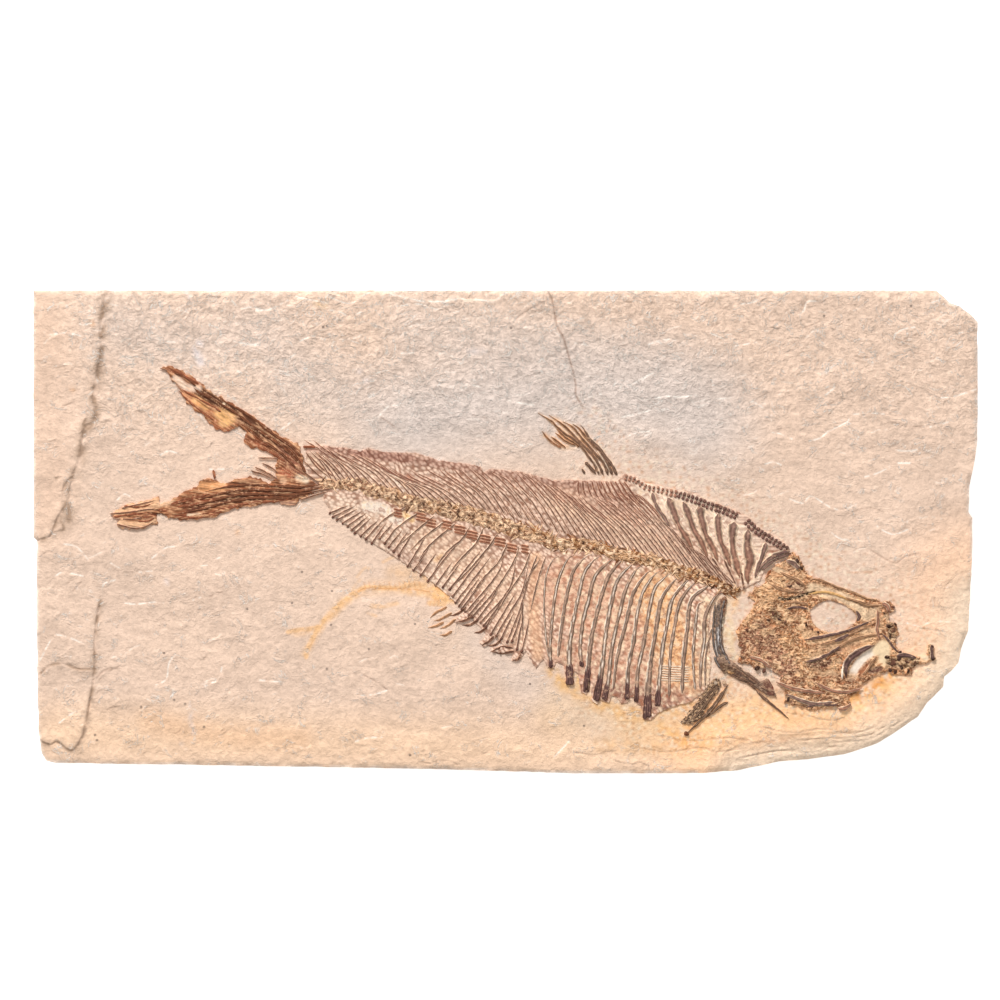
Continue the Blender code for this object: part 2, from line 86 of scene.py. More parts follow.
# %% [markdown]
# ## Lines, distances and borders
#
# Bones, cracks and stains all follow lines drawn with few points. A Catmull-Rom curve
# passes through its points, so it rounds a drawn line without moving it. Distances are worked
# out for all points of a mesh at once with numpy, because a Python loop over them would be slow.

# %% Smooth lines
def smooth_line(cells, step=0.4 * MM, closed=False):
    """A Catmull-Rom curve through grid cells, as points a step apart."""
    points = spots(cells)
    if len(points) == 2 and not closed:
        count = max(2, int(np.linalg.norm(points[1] - points[0]) / step) + 1)
        return points[0] + (points[1] - points[0]) * np.linspace(0, 1, count)[:, None]
    if closed:
        padded = np.vstack([points[-1:], points, points[:2]])
    else:
        padded = np.vstack([2 * points[:1] - points[1:2], points, 2 * points[-1:] - points[-2:-1]])
    out = []
    for a, b, c, d in zip(padded, padded[1:], padded[2:], padded[3:]):
        count = max(1, int(round(np.linalg.norm(c - b) / step)))
        t = (np.arange(count) / count)[:, None]
        out.append(0.5 * (2 * b + (c - a) * t + (2 * a - 5 * b + 4 * c - d) * t ** 2
                          + (3 * b - a - 3 * c + d) * t ** 3))
    if not closed:
        out.append(points[-1:])
    return np.vstack(out)


def soft(value):
    """Smooth step from 0 to 1."""
    value = np.clip(value, 0.0, 1.0)
    return value * value * (3.0 - 2.0 * value)


def line_distance(points, line):
    """For each point, the distance to a line and where along it the nearest place is, 0 to 1."""
    best = np.full(len(points), np.inf)
    along = np.zeros(len(points))
    lengths = np.linalg.norm(np.diff(line, axis=0), axis=1)
    total, passed = max(lengths.sum(), 1e-12), 0.0
    for a, b, length in zip(line, line[1:], lengths):
        span = b - a
        share = np.clip(((points - a) @ span) / max(length * length, 1e-18), 0.0, 1.0)
        gap = np.linalg.norm(points - a - share[:, None] * span, axis=1)
        near = gap < best
        best = np.where(near, gap, best)
        along = np.where(near, (passed + share * length) / total, along)
        passed += length
    return best, along


def near_line(points, line, reach):
    """The same, but only for the points within reach, which is much faster for a short line."""
    low, high = line.min(0) - reach, line.max(0) + reach
    index = np.nonzero(((points > low) & (points < high)).all(axis=1))[0]
    if not len(index):
        return index, np.empty(0), np.empty(0)
    gap, along = line_distance(points[index], line)
    close = gap < reach
    return index[close], gap[close], along[close]


def sideways_of(line):
    """Unit steps square to an open line, one for each of its points."""
    along = np.gradient(line, axis=0)
    along /= np.maximum(np.linalg.norm(along, axis=1), 1e-12)[:, None]
    return np.column_stack([-along[:, 1], along[:, 0]])


def within(points, border):
    """Whether each point lies inside a closed border."""
    odd = np.zeros(len(points), bool)
    x, y = points[:, 0], points[:, 1]
    for (ax, ay), (bx, by) in zip(border, np.roll(border, -1, axis=0)):
        crosses = (ay > y) != (by > y)
        if ay != by:
            odd ^= crosses & (x < ax + (y - ay) / (by - ay) * (bx - ax))
    return odd


print("curve helpers ready; a 3-point line gives", len(smooth_line([(0, 0), (10, 4), (20, 0)])), "points")

# %% [markdown]
# ## Noise from the same seed every time
#
# Stone and crushed bone are uneven at several sizes at once. Blender's own `noise` works point by
# point and always gives the same answer for the same place, so no random numbers are needed.
# Stretching the coordinates makes the grain run along the slab.

# %% Noise helper
def wander(points, size, layer=0.0, stretch=1.0, octaves=1):
    """Smooth noise, about -1 to 1, for points in metres; `size` is the width of one bump."""
    at = points[:, :2] / (size * stretch, size)
    if octaves == 1:
        return np.array([noise.noise((x, y, layer)) for x, y in at.tolist()]) * 1.6
    return np.array([noise.fractal((x, y, layer), 0.7, 2.1, octaves) for x, y in at.tolist()])


print("noise at three places:", wander(spots([(100, 300), (500, 500), (900, 700)]), 5 * MM).round(2))

# %% [markdown]
# ## Sheets: flat triangulations that follow drawn lines
#
# The slab's face and every bone sheet are height fields: a flat triangulation whose points are
# lifted by a formula. A constrained Delaunay triangulation keeps the outline exact and fills the
# rest with even triangles, and it can be finer where a crack or a stain needs it.

# %% Triangulate a sheet
MERGE = 2e-6                           # points closer than this, in metres, become one


def even_points(border, spacing, keep_off=0.5):
    """Points of a triangular grid inside a border, a little away from its edge."""
    low, high = border.min(0), border.max(0)
    rows = np.arange(low[1] + spacing / 2, high[1], spacing * math.sqrt(3) / 2)
    columns = np.arange(low[0] + spacing / 4, high[0], spacing)
    grid = np.array([(x + spacing / 2 * (k % 2), y) for k, y in enumerate(rows) for x in columns])
    grid = grid[within(grid, border)]
    close, _, _ = near_line(grid, np.vstack([border, border[:1]]), spacing * keep_off)
    return np.delete(grid, close, axis=0)


def triangulate(border, inner, holes=()):
    """Points and triangles of a flat sheet with this border, these holes and these inner points."""
    loops = [border, *holes]
    points = np.vstack([*loops, inner])
    edges, first = [], 0
    for loop in loops:
        ring = [first + k for k in range(len(loop))]
        edges += list(zip(ring, ring[1:] + ring[:1]))
        first += len(loop)
    flat, _, faces, *_ = delaunay_2d_cdt([Vector(p) for p in points.tolist()], edges, [], 0, MERGE)
    flat = np.array([tuple(p) for p in flat])
    faces = np.array(faces)
    centre = flat[faces].mean(axis=1)
    keep = within(centre, border)
    for hole in holes:
        keep &= ~within(centre, hole)
    return flat, faces[keep]


def open_edges(faces):
    """Directed edges that belong to only one triangle: the rim of a sheet."""
    directed = {(a, b) for f in faces.tolist() for a, b in ((f[0], f[1]), (f[1], f[2]), (f[2], f[0]))}
    return [(a, b) for a, b in directed if (b, a) not in directed]


print("triangulation helpers ready")

# %% [markdown]
# ## Pigments
#
# A mesh can carry a colour at every point. The broad colouring of stone and bone is painted that
# way, with soft strokes along drawn lines, and the materials add the fine grain on top. This
# is how a prop painter works: a base coat, glazes, then stippling. Colours are written as they
# look on a screen, 0 to 255, and turned into the linear values that light adds up in.

# %% Colours and strokes
SHARP_ANGLE = math.radians(55)         # a steeper edge between two faces is shaded as a crease


def pigment(red, green, blue):
    shown = np.array([red, green, blue]) / 255.0
    return np.where(shown > 0.04045, ((shown + 0.055) / 1.055) ** 2.4, shown / 12.92)


def glaze(colours, mask, colour):
    """Mix a colour into an array of colours, where mask is 0 to 1."""
    mask = np.clip(mask, 0.0, 1.0)[:, None]
    return colours * (1.0 - mask) + colour * mask


def stroke(colours, points, cells, reach, colour, strength=1.0, hard=0.0):
    """Paint along a line of cells; reach is in grid steps, hard 0 is a soft edge and 1 a sharp one."""
    line = smooth_line(cells) if len(cells) > 1 else spots(cells + [(cells[0][0] + 0.1, cells[0][1])])
    index, gap, _ = near_line(points, line, reach * STEP)
    fade = soft((1.0 - gap / (reach * STEP)) / max(1.0 - hard, 0.02))
    colours[index] = glaze(colours[index], fade * strength, colour)


def glazed(points, base, zones, hard=0.0):
    """A base colour under the glazes of some zones: (cells, reach, colour, strength, ...)."""
    colours = np.tile(base, (len(points), 1))
    for cells, reach, colour, strength, *_ in zones:
        stroke(colours, points, cells, reach, colour, strength, hard)
    return colours


def pattern_left(points, zones, hard):
    """How much of a finish's pattern the zones leave at each point, 0 to 1."""
    kept = np.ones((len(points), 1))
    for cells, reach, _, share, left in zones:
        stroke(kept, points, cells, reach, np.array([left]), share, hard)
    return kept[:, 0]


def dress(name, vertices, faces, colours, material, uv=None, alpha=None):
    """A mesh object with a colour, and if given a pattern strength and a UV place, at each point."""
    mesh = bpy.data.meshes.new(name)
    mesh.from_pydata(vertices, [], faces)
    layer = mesh.color_attributes.new("pigment", "FLOAT_COLOR", "POINT")
    rgba = np.ones((len(vertices), 4), np.float32)
    rgba[:, :3] = colours
    if alpha is not None:
        rgba[:, 3] = alpha
    layer.data.foreach_set("color", rgba.ravel())
    if uv is not None:
        corner = np.empty(len(mesh.loops), np.int32)
        mesh.loops.foreach_get("vertex_index", corner)
        mesh.uv_layers.new(name="run").data.foreach_set("uv", np.asarray(uv, np.float32)[corner].ravel())
    mesh.shade_smooth()
    mesh.set_sharp_from_angle(angle=SHARP_ANGLE)
    mesh.materials.append(material)
    piece = bpy.data.objects.new(name, mesh)
    bpy.context.scene.collection.objects.link(piece)
    print(f"{name}: {sum(len(f) - 2 for f in faces)} triangles")
    return piece


print("linear value of warm limestone:", pigment(236, 207, 186).round(3))

# %% [markdown]
# ## Node helpers
#
# A material is a graph of small nodes. Two helpers keep the recipes short: `node` makes one node
# and sets its sockets, from plain numbers or from other nodes' outputs, and `finish_for` starts a
# material with a Principled shader. Fixed numbers such as the roughness of a finish go straight on
# the shader's own socket.

# %% Node helpers
def node(tree, kind, sockets=None, **settings):
    made = tree.nodes.new(kind)
    for name, value in settings.items():
        setattr(made, name, value)
    for name, value in (sockets or {}).items():
        if isinstance(value, bpy.types.NodeSocket):
            tree.links.new(value, made.inputs[name])
        else:
            made.inputs[name].default_value = value
    return made


def finish_for(name, roughness, specular=0.3):
    material = bpy.data.materials.new(name)
    material.use_nodes = True
    shader = material.node_tree.nodes["Principled BSDF"]
    shader.inputs["Roughness"].default_value = roughness
    shader.inputs["Specular IOR Level"].default_value = specular
    return material, material.node_tree, shader


def noise_of(tree, where, scale, detail=3.0, rough=0.55, distortion=0.0):
    made = node(tree, "ShaderNodeTexNoise", {"Vector": where, "Scale": scale, "Detail": detail,
                                             "Roughness": rough, "Distortion": distortion})
    return made.outputs["Fac"]


def ranged(tree, value, low, high, to_low=0.0, to_high=1.0):
    """Map low..high of a value onto to_low..to_high, clamped."""
    made = node(tree, "ShaderNodeMapRange", {"Value": value, "From Min": low, "From Max": high,
                                             "To Min": to_low, "To Max": to_high})
    return made.outputs["Result"]


def sums(tree, operation, a, b):
    made = node(tree, "ShaderNodeMath", operation=operation)
    for socket, value in zip(made.inputs, (a, b)):
        if isinstance(value, bpy.types.NodeSocket):
            tree.links.new(value, socket)
        else:
            socket.default_value = value
    return made.outputs[0]


def blended(tree, factor, a, b, mode="MIX"):
    """A colour mix; a and b are colour outputs or linear RGB triples."""
    made = node(tree, "ShaderNodeMix", data_type="RGBA", blend_type=mode)
    for name, value in (("Factor_Float", factor), ("A_Color", a), ("B_Color", b)):
        socket = next(s for s in made.inputs if s.identifier == name)
        if isinstance(value, bpy.types.NodeSocket):
            tree.links.new(value, socket)
        elif name == "Factor_Float":
            socket.default_value = value
        else:
            socket.default_value = (*value, 1.0)
    return next(s for s in made.outputs if s.identifier == "Result_Color")


def toned(tree, colour, tone):
    """A colour made lighter or darker by a value."""
    grey = node(tree, "ShaderNodeCombineColor", {"Red": tone, "Green": tone, "Blue": tone}).outputs[0]
    return blended(tree, 1.0, colour, grey, "MULTIPLY")


def bumped(tree, height, distance, strength=1.0, under=None):
    made = node(tree, "ShaderNodeBump", {"Height": height, "Distance": distance, "Strength": strength})
    if under is not None:
        tree.links.new(under, made.inputs["Normal"])
    return made.outputs["Normal"]


print("node helpers ready")

# %% [markdown]
# ## The limestone finish
#
# This stone is a lake mud laid down in paper-thin layers. It splits unevenly, so the face is
# matt, pale and covered in fine wavy grain, with tiny ledges where a layer ends. The painted
# pigment gives the broad colour, and two noises mottle it. A third, the same noise that bumps
# the face, is painted shade in its hollows and a painted lighter tone on its crests, most where
# the paint's alpha says that the top layer is loose. The ledges are a noise cut into steps and
# bumped: a pale painted highlight marks the lip of each step, and a faint painted shade lies
# just below its drop.

# %% Limestone
def limestone():
    material, tree, shader = finish_for("split_limestone", 0.92, 0.12)
    place = node(tree, "ShaderNodeTexCoord").outputs["Object"]
    grain = node(tree, "ShaderNodeMapping", {"Vector": place, "Scale": (0.9, 1.0, 1.0)}).outputs[0]
    paint = node(tree, "ShaderNodeAttribute", attribute_name="pigment")
    crinkle = noise_of(tree, grain, 760, 6.0, 0.7, 0.3)
    broad = ranged(tree, noise_of(tree, grain, 130, 4.0, 0.6), 0.3, 0.7, 0.95, 1.05)
    fine = ranged(tree, noise_of(tree, grain, 1000, 3.0, 0.7), 0.3, 0.7, 0.93, 1.07)
    crumpled = sums(tree, "ADD", sums(tree, "MULTIPLY", paint.outputs["Alpha"], 1.35), 0.23)
    # Painted shade: the colour darkens in the hollows of the crinkle noise that also bumps the face, and
    # lightens on its crests.
    hollow_shade = sums(tree, "MULTIPLY", ranged(tree, crinkle, 0.38, 0.6, -0.09, 0.115), crumpled)
    hollow_shade = sums(tree, "ADD", hollow_shade, 1.0)
    colour = toned(tree, toned(tree, toned(tree, paint.outputs["Color"], broad), fine), hollow_shade)
    steps = sums(tree, "FRACT", sums(tree, "MULTIPLY", noise_of(tree, grain, 190, 5.0, 0.62, 0.9), 6.0), 0.0)
    ledge = sums(tree, "MINIMUM", sums(tree, "DIVIDE", steps, 0.9), sums(tree, "DIVIDE",
                 sums(tree, "SUBTRACT", 1.0, steps), 0.1))
    loose = sums(tree, "ADD", noise_of(tree, grain, 210, 2.0),
                 sums(tree, "MULTIPLY", paint.outputs["Alpha"], 0.2))
    patch = ranged(tree, loose, 0.6, 0.7)
    # Painted highlight on the upper lip of each ledge step, and painted shade just below its drop.
    lit_edge = sums(tree, "MULTIPLY", ranged(tree, steps, 0.84, 0.97), patch)
    shaded_edge = sums(tree, "MULTIPLY", ranged(tree, steps, 0.14, 0.02), patch)
    colour = blended(tree, sums(tree, "MULTIPLY", shaded_edge, 0.14), colour, tuple(pigment(190, 150, 122)))
    colour = blended(tree, sums(tree, "MULTIPLY", lit_edge, 0.8), colour, tuple(pigment(255, 246, 236)))
    tree.links.new(colour, shader.inputs["Base Color"])
    wavy = bumped(tree, sums(tree, "MULTIPLY", crinkle, crumpled), 0.6 * MM)
    stepped = bumped(tree, sums(tree, "MULTIPLY", ledge, patch), 0.15 * MM, 1.0, wavy)
    tree.links.new(stepped, shader.inputs["Normal"])
    return material


stone_finish = limestone()
print("finish made:", stone_finish.name)

# %% [markdown]
# ## Where the stone is broken
#
# The plate's rim is hand-broken: straight along the top and left, and a long curved break at the
# lower right, where the layers thin out. A natural crack steps down near the left end. Thin layers
# have flaked off along the top edge and in the lower left corner. Each of these is one line of
# cells that both the shape and the colour of the stone use.

# %% Lines in the stone
SLAB_BORDER = [
    (33, 290), (937, 290), (950, 302), (960, 306), (972, 315), (978, 322), (978, 440), (975, 460),
    (970, 486), (969, 512), (973, 518), (973, 542), (971, 600), (969, 631), (962, 649), (959, 663),
    (952, 671), (945, 677), (944, 687), (937, 694), (928, 703), (919, 717), (900, 730), (878, 744),
    (845, 755), (808, 760), (780, 762), (738, 771), (700, 773.5), (573, 773.5), (460, 770), (310, 767),
    (118, 764), (55, 763), (46, 761), (41, 753), (38, 731), (36.5, 666), (36.5, 541), (33, 537),
]
BROKEN_RIM = [
    (971, 600), (969, 631), (959, 663), (945, 677), (944, 687), (919, 717), (878, 744), (845, 755),
    (780, 762), (738, 771),
]
FISH_BOUNDS = [
    (160, 365), (300, 440), (420, 448), (540, 470), (540, 408), (580, 420), (622, 470), (700, 494),
    (795, 550), (895, 600), (936, 642), (936, 662), (860, 712), (740, 700), (684, 738), (560, 690),
    (430, 600), (310, 506), (110, 530), (110, 505), (250, 474), (180, 395),
]
# A scarp is a line where the stone steps: cells, width of the step in cells, height in mm, and how
# far the raised side reaches back to its left, in cells.
SCARPS = [
    ([(109, 285), (105, 302), (101, 330), (103, 347), (99, 366), (94, 396), (96, 415), (92, 424), (86, 427),
      (83, 439), (80, 458), (75, 471), (70, 494), (69, 520)], 3.0, 0.42, 22),
    ([(74, 476), (67, 482), (63, 492), (66, 504), (57, 520), (50, 536), (33, 541)], 1.7, 0.34, 10),
    ([(60, 520), (64, 529), (55, 532), (49, 537)], 1.2, 0.16, 5), ([(64, 476), (56, 478)], 1.1, 0.14, 4),
    ([(86, 418), (84, 425), (89, 429), (93, 424)], 1.3, 0.2, 6),
    ([(100, 600), (97, 620), (95, 640), (95, 657), (94, 677), (90, 702), (85, 729), (81, 740), (71, 751),
      (57, 742), (50, 745), (38, 740)], 1.5, 0.42, 18),
    ([(36, 678), (50, 666), (62, 664), (77, 669), (95, 669)], 1.2, 0.26, 9),
]
# Hairlines: cells, half width in cells, depth in mm, how dark.
HAIRLINES = [
    ([(548, 291), (553, 303), (557, 326), (564, 340), (575, 380), (576, 395), (583, 408)], 1.2, 0.3, 0.6),
    ([(548, 300), (530, 309), (515, 319)], 1.1, 0.12, 0.35),
    ([(680, 313), (689, 313), (705, 303)], 1.1, 0.12, 0.35), ([(711, 327), (721, 323)], 1.0, 0.12, 0.35),
    ([(750, 311), (760, 315)], 1.0, 0.1, 0.3),
    ([(771, 322), (781, 321), (801, 328), (821, 321)], 1.0, 0.1, 0.25),
    ([(871, 550), (880, 556), (895, 563), (905, 557), (920, 553)], 1.2, 0.16, 0.4),
    ([(920, 628), (946, 632)], 1.2, 0.14, 0.4), ([(97, 677), (104, 671), (112, 668)], 1.2, 0.16, 0.4),
    ([(655, 735), (690, 741), (730, 738), (760, 744)], 1.2, 0.14, 0.3),
    ([(640, 748), (668, 752), (700, 748), (716, 752), (742, 749)], 1.2, 0.14, 0.3),
    ([(760, 727), (792, 733), (822, 729), (850, 734), (872, 728)], 1.2, 0.16, 0.4),
    ([(742, 758), (780, 751), (812, 753), (840, 745)], 1.2, 0.16, 0.35),
    ([(800, 741), (830, 738), (856, 741), (884, 733)], 1.0, 0.12, 0.3),
    ([(196, 311), (182, 318), (170, 327)], 1.0, 0.1, 0.2),
    ([(36, 560), (48, 552), (60, 556)], 1.0, 0.1, 0.2),
    ([(899, 340), (913, 352), (931, 356)], 1.0, 0.1, 0.2),
    ([(848, 514), (868, 508), (884, 512)], 1.0, 0.1, 0.2),
]
# Flakes that have split off: their border, and how deep in mm.
FLAKES = [
    ([(322, 280), (329, 292), (341, 297), (352, 303), (358, 299), (365, 294), (370, 280)], 0.75),
    ([(372, 280), (379, 293), (391, 294), (404, 298), (418, 297), (431, 302), (444, 302), (454, 298),
      (470, 301), (495, 300), (504, 293), (512, 280)], 0.75),
    ([(236, 280), (240, 303), (249, 306), (258, 314), (270, 311), (283, 312), (289, 306), (300, 303),
      (309, 292), (316, 280)], 0.5),
    ([(797, 280), (800, 300), (802, 316), (807, 306), (818, 280)], 0.5),
    ([(100, 280), (118, 294), (128, 291), (140, 280)], 0.5),
    ([(640, 280), (652, 294), (673, 297), (690, 293), (704, 296), (716, 280)], 0.4),
    ([(868, 280), (876, 295), (902, 299), (925, 294), (945, 296), (958, 304), (980, 312), (990, 280)], 0.5),
]
# Thin layers end in short ledges. One drawn from left to right faces the light, and the others do not.
# The stone's colour gets a painted highlight along the first kind and a painted shade along the others.
LEDGES = [
    [(229, 296), (239, 308), (252, 307), (265, 310)], [(255, 310), (270, 309), (288, 300)],
    [(295, 296), (311, 300), (328, 303)], [(330, 297), (342, 302), (352, 303), (363, 296), (371, 292)],
    [(389, 294), (408, 298), (422, 301), (444, 301), (457, 299), (473, 299), (493, 301), (504, 294),
     (514, 291)],
    [(330, 310), (340, 312), (350, 316), (361, 312)], [(399, 306), (420, 304), (436, 309), (444, 306)],
    [(440, 353), (450, 355), (461, 364)], [(401, 353), (416, 353)], [(375, 376), (379, 372), (389, 370)],
    [(465, 388), (471, 385), (481, 387)], [(508, 400), (526, 404), (534, 405)],
    [(379, 416), (389, 406), (399, 405)],
    [(395, 427), (379, 416)], [(487, 418), (473, 415)], [(610, 393), (618, 390), (622, 386)],
    [(624, 388), (636, 382), (650, 374)], [(622, 417), (636, 414), (650, 410)],
    [(622, 438), (636, 433), (650, 431)],
    [(575, 343), (587, 345), (595, 347)], [(589, 397), (601, 394)], [(520, 445), (532, 444)],
    [(655, 398), (669, 396), (680, 397), (695, 395)],
    [(702, 406), (708, 402), (715, 399), (728, 398), (735, 395), (738, 388)],
    [(752, 401), (761, 406), (770, 415)],
    [(770, 432), (781, 434), (792, 439)],
    [(809, 441), (820, 438), (829, 431), (847, 422), (851, 415), (867, 413), (884, 414)],
    [(924, 426), (908, 427), (895, 423), (884, 418)], [(930, 427), (948, 422)],
    [(765, 464), (774, 462), (781, 465)],
    [(864, 477), (875, 474), (886, 469)], [(896, 450), (906, 451), (917, 450)], [(898, 463), (911, 463)],
    [(926, 472), (911, 463)], [(820, 398), (827, 394), (834, 388)], [(845, 397), (827, 405)],
    [(798, 316), (804, 310), (807, 302), (816, 301)], [(735, 346), (746, 344), (761, 342)],
    [(710, 333), (724, 339)],
    [(647, 345), (658, 341), (669, 339)], [(640, 383), (647, 376), (653, 373)], [(640, 438), (653, 432)],
    [(675, 430), (684, 427)], [(894, 339), (896, 333), (904, 329), (915, 327)], [(919, 334), (904, 339)],
    [(917, 305), (933, 302), (941, 299)], [(959, 333), (970, 331)],
    [(941, 398), (955, 396), (968, 392), (977, 389)],
    [(875, 358), (853, 357)], [(815, 362), (802, 362)], [(741, 304), (754, 302), (761, 297)],
    [(216, 373), (231, 370), (247, 372)], [(231, 395), (240, 405)], [(277, 432), (294, 420)],
    [(160, 341), (175, 342)],
    [(275, 369), (288, 372)], [(285, 361), (295, 354)], [(300, 341), (313, 336), (323, 339)],
    [(45, 335), (68, 333), (81, 336)], [(81, 324), (96, 323)], [(160, 455), (168, 451), (177, 453)],
    [(209, 469), (224, 469)], [(234, 341), (247, 344), (260, 345)],
    [(907, 623), (920, 626), (933, 621), (950, 622)],
    [(790, 499), (803, 503), (811, 496), (830, 507), (843, 510), (856, 504)],
    [(877, 526), (886, 532), (896, 534), (913, 527)],
    [(832, 533), (839, 538), (849, 540), (866, 540)], [(64, 544), (75, 546), (83, 553), (90, 562)],
    [(109, 562), (120, 568)],
    [(152, 558), (165, 548), (175, 546), (184, 540)], [(137, 572), (152, 571)],
    [(102, 588), (105, 583), (115, 580)],
    [(124, 603), (137, 604), (154, 602), (164, 603)], [(193, 600), (201, 597)],
    [(223, 592), (216, 593), (210, 597)],
    [(216, 559), (223, 556)], [(199, 566), (207, 565)], [(55, 576), (64, 572), (83, 576)],
    [(81, 582), (72, 592)],
    [(117, 500), (124, 494), (135, 499)], [(40, 660), (52, 638), (59, 635), (73, 639), (85, 644)],
    [(120, 666), (108, 672), (99, 680)], [(154, 686), (166, 679), (169, 663), (175, 654)],
    [(191, 689), (208, 685), (219, 677), (222, 667)], [(210, 653), (201, 661)],
    [(259, 680), (270, 681), (284, 682)],
    [(356, 695), (370, 695), (388, 690)], [(388, 690), (375, 681), (360, 673)],
    [(121, 707), (113, 707), (107, 710)],
    [(59, 723), (71, 714), (82, 709)], [(354, 742), (366, 738), (382, 737)], [(138, 694), (152, 701)],
    [(459, 766), (453, 762), (441, 760), (431, 763), (420, 762)], [(494, 748), (488, 752), (482, 754)],
    [(551, 760), (559, 752), (569, 741)], [(616, 751), (604, 752), (596, 755), (574, 752)],
    [(649, 766), (639, 762), (631, 764), (612, 760)],
    [(845, 717), (835, 720), (820, 719), (805, 715), (790, 714)],
    [(877, 734), (864, 735), (847, 741), (828, 741), (813, 741)], [(907, 719), (894, 725), (881, 728)],
    [(44, 332), (50, 334), (57, 333)], [(66, 331), (74, 335)], [(80, 324), (87, 325)],
    [(89, 395), (95, 388), (96, 380)],
]
LEDGE_WIDTH, LEDGE_RISE, LEDGE_REACH = 0.9, 0.13, 8
TRACED = len(LEDGES)                   # the rest are small and spread at random
chance = np.random.default_rng(8)
for k in range(260):
    run = 6 + 10 * chance.random()
    col = chance.uniform(42, 950)
    row = 294 + 150 * chance.random() ** 1.6 if k < 180 else chance.uniform(440, 755)
    slant = chance.uniform(-0.75, 0.35) * run
    middle = (col + 0.5 * run, row + 0.5 * slant + chance.uniform(-2.5, 2.5))
    crooked = [(col, row), middle, (col + run, row + slant)]
    if not within(spots(crooked), 1.06 * spots(FISH_BOUNDS)).any():
        LEDGES.append(crooked if chance.random() < 0.72 else crooked[::-1])
print(len(SCARPS), "scarps,", len(HAIRLINES), "hairlines,", len(FLAKES), "flakes")

# %% [markdown]
# ## The shape of the split face
#
# The face is almost level under the fish, because fish and stone split along one layer. Away from
# it the stone swells slowly, steps at the scarps, and thins towards the broken rim in small
# terraces. All of it is one function of place, so that every piece that lies on the stone can ask
# how high the stone is there.

# %% Height of the stone
CORNER_DROP, CORNER_WIDTH = 1.1 * MM, 12 * MM
TREAD = 0.22                           # height of one terrace, in mm
GROOVE = 0.45                          # depth of the groove at a scarp's foot, as a share of its height
rim_line = np.vstack([spots(SLAB_BORDER), spots(SLAB_BORDER[:1])])
fish_line = spots(FISH_BOUNDS)


def terraces(value, ramp=0.25):
    """Turn a smooth value into flat treads with a short ramp at the end of each."""
    whole = np.floor(value)
    return whole + soft((value - whole - (1 - ramp)) / ramp)


def away_from_fish(points):
    gap, _ = line_distance(points, np.vstack([fish_line, fish_line[:1]]))
    return soft((np.where(within(points, fish_line), 0.0, gap) - 1 * MM) / (10 * MM))


def stone_height(points):
    """Height of the split face above the ground, in metres."""
    away = away_from_fish(points)
    swell = 0.35 * away * (wander(points, 22 * MM, 0.3, 1.3) / 1.6 - 0.3)
    grain = 0.09 * wander(points, 4.5 * MM, 1.7, 1.3) + 0.06 * wander(points, 1.9 * MM, 2.9, 1.2)
    layers = wander(points, 13 * MM, 4.1, 1.6, 2) * 2.4
    part = layers - np.floor(layers)
    patches = soft(0.5 + 0.9 * wander(points, 16 * MM, 7.7))
    ledges = 0.16 * patches * np.minimum(part / 0.9, (1 - part) / 0.1)
    height = swell + (grain + ledges) * (0.4 + 0.6 * away) - 0.1 * (1 - away)
    ledges = [(cells, LEDGE_WIDTH, LEDGE_RISE, LEDGE_REACH) for cells in LEDGES]
    for cells, width, rise, reach in SCARPS + ledges:
        line = smooth_line(cells)
        index, gap, along = near_line(points, line, (reach + width) * STEP)
        nearest = line[(along * (len(line) - 1)).astype(int)]
        ahead = line[np.minimum((along * (len(line) - 1)).astype(int) + 1, len(line) - 1)]
        step = ahead - nearest
        offset = points[index] - nearest
        side = np.sign(step[:, 0] * offset[:, 1] - step[:, 1] * offset[:, 0])
        signed = gap * np.where(side == 0, 1, -side) / STEP
        ends = soft(along / 0.04 + 0.2) * soft((1 - along) / 0.04 + 0.2)
        uneven = 0.75 + 0.35 * wander(points[index], 3 * MM, 3.3)
        up = soft(signed / width) * soft((reach - signed) / (0.8 * reach))
        height[index] += rise * uneven * ends * up
        groove = np.clip(1 - np.abs(signed) / width, 0, 1)
        height[index] -= GROOVE * rise * groove * ends * uneven
    for cells, width, depth, _ in HAIRLINES:
        index, gap, along = near_line(points, smooth_line(cells), width * STEP)
        height[index] -= depth * (1 - gap / (width * STEP)) * soft(np.minimum(along, 1 - along) / 0.08 + 0.15)
    for border, depth in FLAKES:
        edge = smooth_line(border, closed=True)
        hit = np.nonzero(within(points, edge))[0]
        gap, _ = line_distance(points[hit], edge)
        height[hit] -= depth * soft(gap / (0.5 * MM)) * (0.8 + 0.3 * wander(points[hit], 4 * MM, 5.5))
    thin = soft(1 - line_distance(points, spots(BROKEN_RIM))[0] / CORNER_WIDTH) ** 1.5
    drop = away * thin * CORNER_DROP / MM
    height -= TREAD * terraces(drop / TREAD + 0.4 * away * wander(points, 9 * MM, 8.8, 2.0))
    rim, _ = line_distance(points, rim_line)
    chipped = 0.45 + 0.45 * wander(points, 3.2 * MM, 6.1)
    height -= np.clip(chipped, 0.08, 1.0) * (1 - soft(rim / (1.0 * MM)))
    return BED + height * MM


print("stone height under the eye, mm:", (1000 * stone_height(spots([(832, 616)]))).round(3))

# %% [markdown]
# ## The colour of the stone
#
# The bare stone is beige with a rose cast. It goes greyer and more lilac above the middle of the
# fish, and ochre towards the lower edge and under the belly, where iron has stained it. A few
# orange dots, pale lime marks and dark grains sit on it. The small fish under the belly is only
# such a stain: it has colour but no height.

# %% Broad colours
STONE = pigment(238, 207, 184)
LILAC = pigment(222, 205, 194)
OCHRE = pigment(250, 212, 179)
RUST = pigment(232, 170, 112)
LIME = pigment(240, 231, 232)
CRACK_AND_SHADE = pigment(158, 122, 102)
LIT_EDGE = pigment(255, 246, 234)
